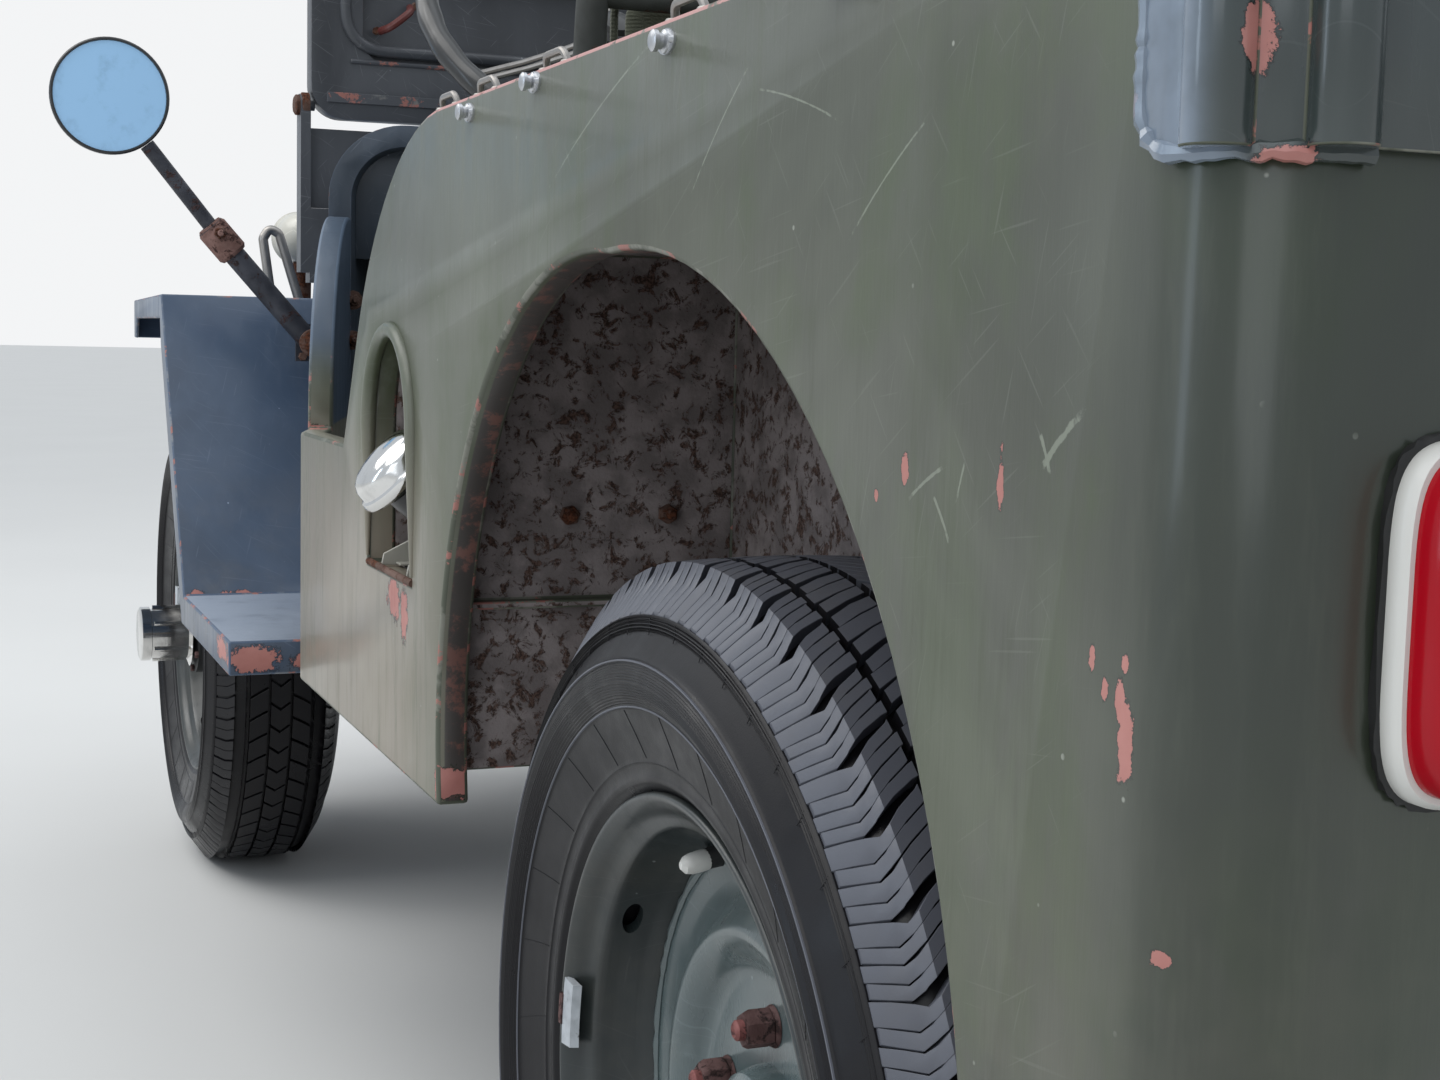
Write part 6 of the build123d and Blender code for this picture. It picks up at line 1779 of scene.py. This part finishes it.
class CushionSettings(bpy.types.PropertyGroup):
    cloth: FloatVectorProperty(name="Canvas", description="Colour of the seat covers",
                               default=(0.115, 0.12, 0.085), **COLOUR)
    inset: FloatProperty(name="Inset", description="How much smaller a pad starts than its room",
                         default=0.010, min=0.0, max=0.03, unit="LENGTH")
    voxel: FloatProperty(name="Mesh size", description="Size of the cells of a pad's mesh",
                         default=0.009, min=0.004, max=0.02, unit="LENGTH")
    pressure: FloatProperty(name="Fill pressure", description="Push of the filling on the cover",
                            default=4.0, min=0, max=20)
    cap: FloatProperty(name="Swell limit", description="Furthest that a cover moves outward",
                       default=0.009, min=0.002, max=0.03, unit="LENGTH")


class StageSettings(bpy.types.PropertyGroup):
    key: FloatProperty(name="Key", description="Power of the main lamp", default=70, min=0,
                       unit="POWER")
    fill: FloatProperty(name="Fill", description="Power of the lamp behind the camera", default=28,
                        min=0, unit="POWER")
    strip: FloatProperty(name="Strip", description="Power of the upright lamp beside the car",
                         default=13, min=0, unit="POWER")
    top: FloatProperty(name="Top", description="Power of the lamp overhead", default=40, min=0,
                       unit="POWER")
    sky: FloatProperty(name="Sky", description="Strength of the wide lamp far above", default=1.3,
                       min=0, max=5)
    air: FloatProperty(name="Air", description="Strength of the light all round", default=0.72,
                       min=0, max=2)
    floor: FloatProperty(name="Floor", description="Half the width of the floor", default=60.0,
                         min=4, unit="LENGTH")
    tone: FloatVectorProperty(name="Floor tone", description="Colour of the floor",
                              default=(0.66, 0.66, 0.65), **COLOUR)


class FieldCarSettings(bpy.types.PropertyGroup):
    paint: PointerProperty(type=PaintSettings, name="Paint",
                           description="Colours and wear of the paint")
    tyre: PointerProperty(type=TyreSettings, name="Tyres", description="Tread sizes and rubber")
    cushion: PointerProperty(type=CushionSettings, name="Cushions",
                             description="Canvas and filling of the seats")
    stage: PointerProperty(type=StageSettings, name="Stage", description="Floor, lamps and light")


# Operators


class FIELDCAR_OT_panels(bpy.types.Operator):
    """Dress the pressed panels and the frame with paint and worn edges"""
    bl_idname = "field_car.panels"
    bl_label = "Build body panels"

    def execute(self, context):
        build_panels()
        return {"FINISHED"}


class FIELDCAR_OT_tyres(bpy.types.Operator):
    """Build the ribbed and blocked tyres"""
    bl_idname = "field_car.tyres"
    bl_label = "Build tyres"

    def execute(self, context):
        build_tyres()
        return {"FINISHED"}


class FIELDCAR_OT_wheels(bpy.types.Operator):
    """Build the pressed wheels with nuts, valves and hubs"""
    bl_idname = "field_car.wheels"
    bl_label = "Build wheels"

    def execute(self, context):
        build_wheels()
        return {"FINISHED"}


class FIELDCAR_OT_side_trim(bpy.types.Operator):
    """Build the turn buttons and footman loops of the body sides"""
    bl_idname = "field_car.side_trim"
    bl_label = "Build side trim"

    def execute(self, context):
        build_side_trim()
        return {"FINISHED"}


class FIELDCAR_OT_filler(bpy.types.Operator):
    """Build the fuel filler with its cap and recess rim"""
    bl_idname = "field_car.filler"
    bl_label = "Build fuel filler"

    def execute(self, context):
        build_filler()
        return {"FINISHED"}


class FIELDCAR_OT_rear_corner(bpy.types.Operator):
    """Build the corner welds and the tail lamps"""
    bl_idname = "field_car.rear_corner"
    bl_label = "Build rear corners"

    def execute(self, context):
        build_rear_corner()
        return {"FINISHED"}


class FIELDCAR_OT_windshield(bpy.types.Operator):
    """Build the windshield's beads, gaskets and fittings, and the cowl's bolts"""
    bl_idname = "field_car.windshield"
    bl_label = "Build windshield trim"

    def execute(self, context):
        build_windshield()
        return {"FINISHED"}


class FIELDCAR_OT_mirrors(bpy.types.Operator):
    """Build the round mirrors and their collars"""
    bl_idname = "field_car.mirrors"
    bl_label = "Build mirrors"

    def execute(self, context):
        build_mirrors()
        return {"FINISHED"}


class FIELDCAR_OT_lamps(bpy.types.Operator):
    """Build the headlamps and the fender lamp"""
    bl_idname = "field_car.lamps"
    bl_label = "Build lamps"

    def execute(self, context):
        build_lamps()
        return {"FINISHED"}


class FIELDCAR_OT_hood(bpy.types.Operator):
    """Build the hood's catches, rests and hinge screws"""
    bl_idname = "field_car.hood"
    bl_label = "Build hood fittings"

    def execute(self, context):
        build_hood_fittings()
        return {"FINISHED"}


class FIELDCAR_OT_seats(bpy.types.Operator):
    """Build the stuffed canvas cushions"""
    bl_idname = "field_car.seats"
    bl_label = "Build cushions"

    def execute(self, context):
        build_seats()
        return {"FINISHED"}


class FIELDCAR_OT_controls(bpy.types.Operator):
    """Build the steering wheel and gauges"""
    bl_idname = "field_car.controls"
    bl_label = "Build controls"

    def execute(self, context):
        build_controls()
        return {"FINISHED"}


class FIELDCAR_OT_running_gear(bpy.types.Operator):
    """Finish the axles, springs and drive line"""
    bl_idname = "field_car.running_gear"
    bl_label = "Build running gear"

    def execute(self, context):
        build_running_gear()
        return {"FINISHED"}


class FIELDCAR_OT_stage(bpy.types.Operator):
    """Set the floor, lamps, air and camera"""
    bl_idname = "field_car.stage"
    bl_label = "Build stage"

    def execute(self, context):
        build_stage()
        return {"FINISHED"}


OPERATORS = (
    FIELDCAR_OT_panels, FIELDCAR_OT_tyres, FIELDCAR_OT_wheels, FIELDCAR_OT_side_trim,
    FIELDCAR_OT_filler, FIELDCAR_OT_rear_corner, FIELDCAR_OT_windshield, FIELDCAR_OT_mirrors,
    FIELDCAR_OT_lamps, FIELDCAR_OT_hood, FIELDCAR_OT_seats, FIELDCAR_OT_controls,
    FIELDCAR_OT_running_gear, FIELDCAR_OT_stage,
)
GROUPS = (PaintSettings, TyreSettings, CushionSettings, StageSettings, FieldCarSettings)


class FIELDCAR_PT_tools(bpy.types.Panel):
    """Sizes, colours and build buttons of the field car"""
    bl_label = "Field car"
    bl_idname = "FIELDCAR_PT_tools"
    bl_space_type = "VIEW_3D"
    bl_region_type = "UI"
    bl_category = "Field car"

    def draw(self, context):
        values = context.scene.field_car
        for title, group in (("Paint", values.paint), ("Tyres", values.tyre),
                             ("Cushions", values.cushion), ("Stage", values.stage)):
            area = self.layout.box()
            area.label(text=title)
            for key in type(group).__annotations__:
                area.prop(group, key)
        for operator in OPERATORS:
            self.layout.operator(operator.bl_idname)


def register():
    for made in (*GROUPS, *OPERATORS, FIELDCAR_PT_tools):
        bpy.utils.register_class(made)
    bpy.types.Scene.field_car = PointerProperty(type=FieldCarSettings)


def unregister():
    del bpy.types.Scene.field_car
    for made in (FIELDCAR_PT_tools, *reversed(OPERATORS), *reversed(GROUPS)):
        bpy.utils.unregister_class(made)


def main():
    register()
    bpy.ops.field_car.panels()
    bpy.ops.field_car.tyres()
    bpy.ops.field_car.wheels()
    bpy.ops.field_car.side_trim()
    bpy.ops.field_car.filler()
    bpy.ops.field_car.rear_corner()
    bpy.ops.field_car.windshield()
    bpy.ops.field_car.mirrors()
    bpy.ops.field_car.lamps()
    bpy.ops.field_car.hood()
    bpy.ops.field_car.seats()
    bpy.ops.field_car.controls()
    bpy.ops.field_car.running_gear()
    bpy.ops.field_car.stage()


if __name__ == "__main__":
    main()
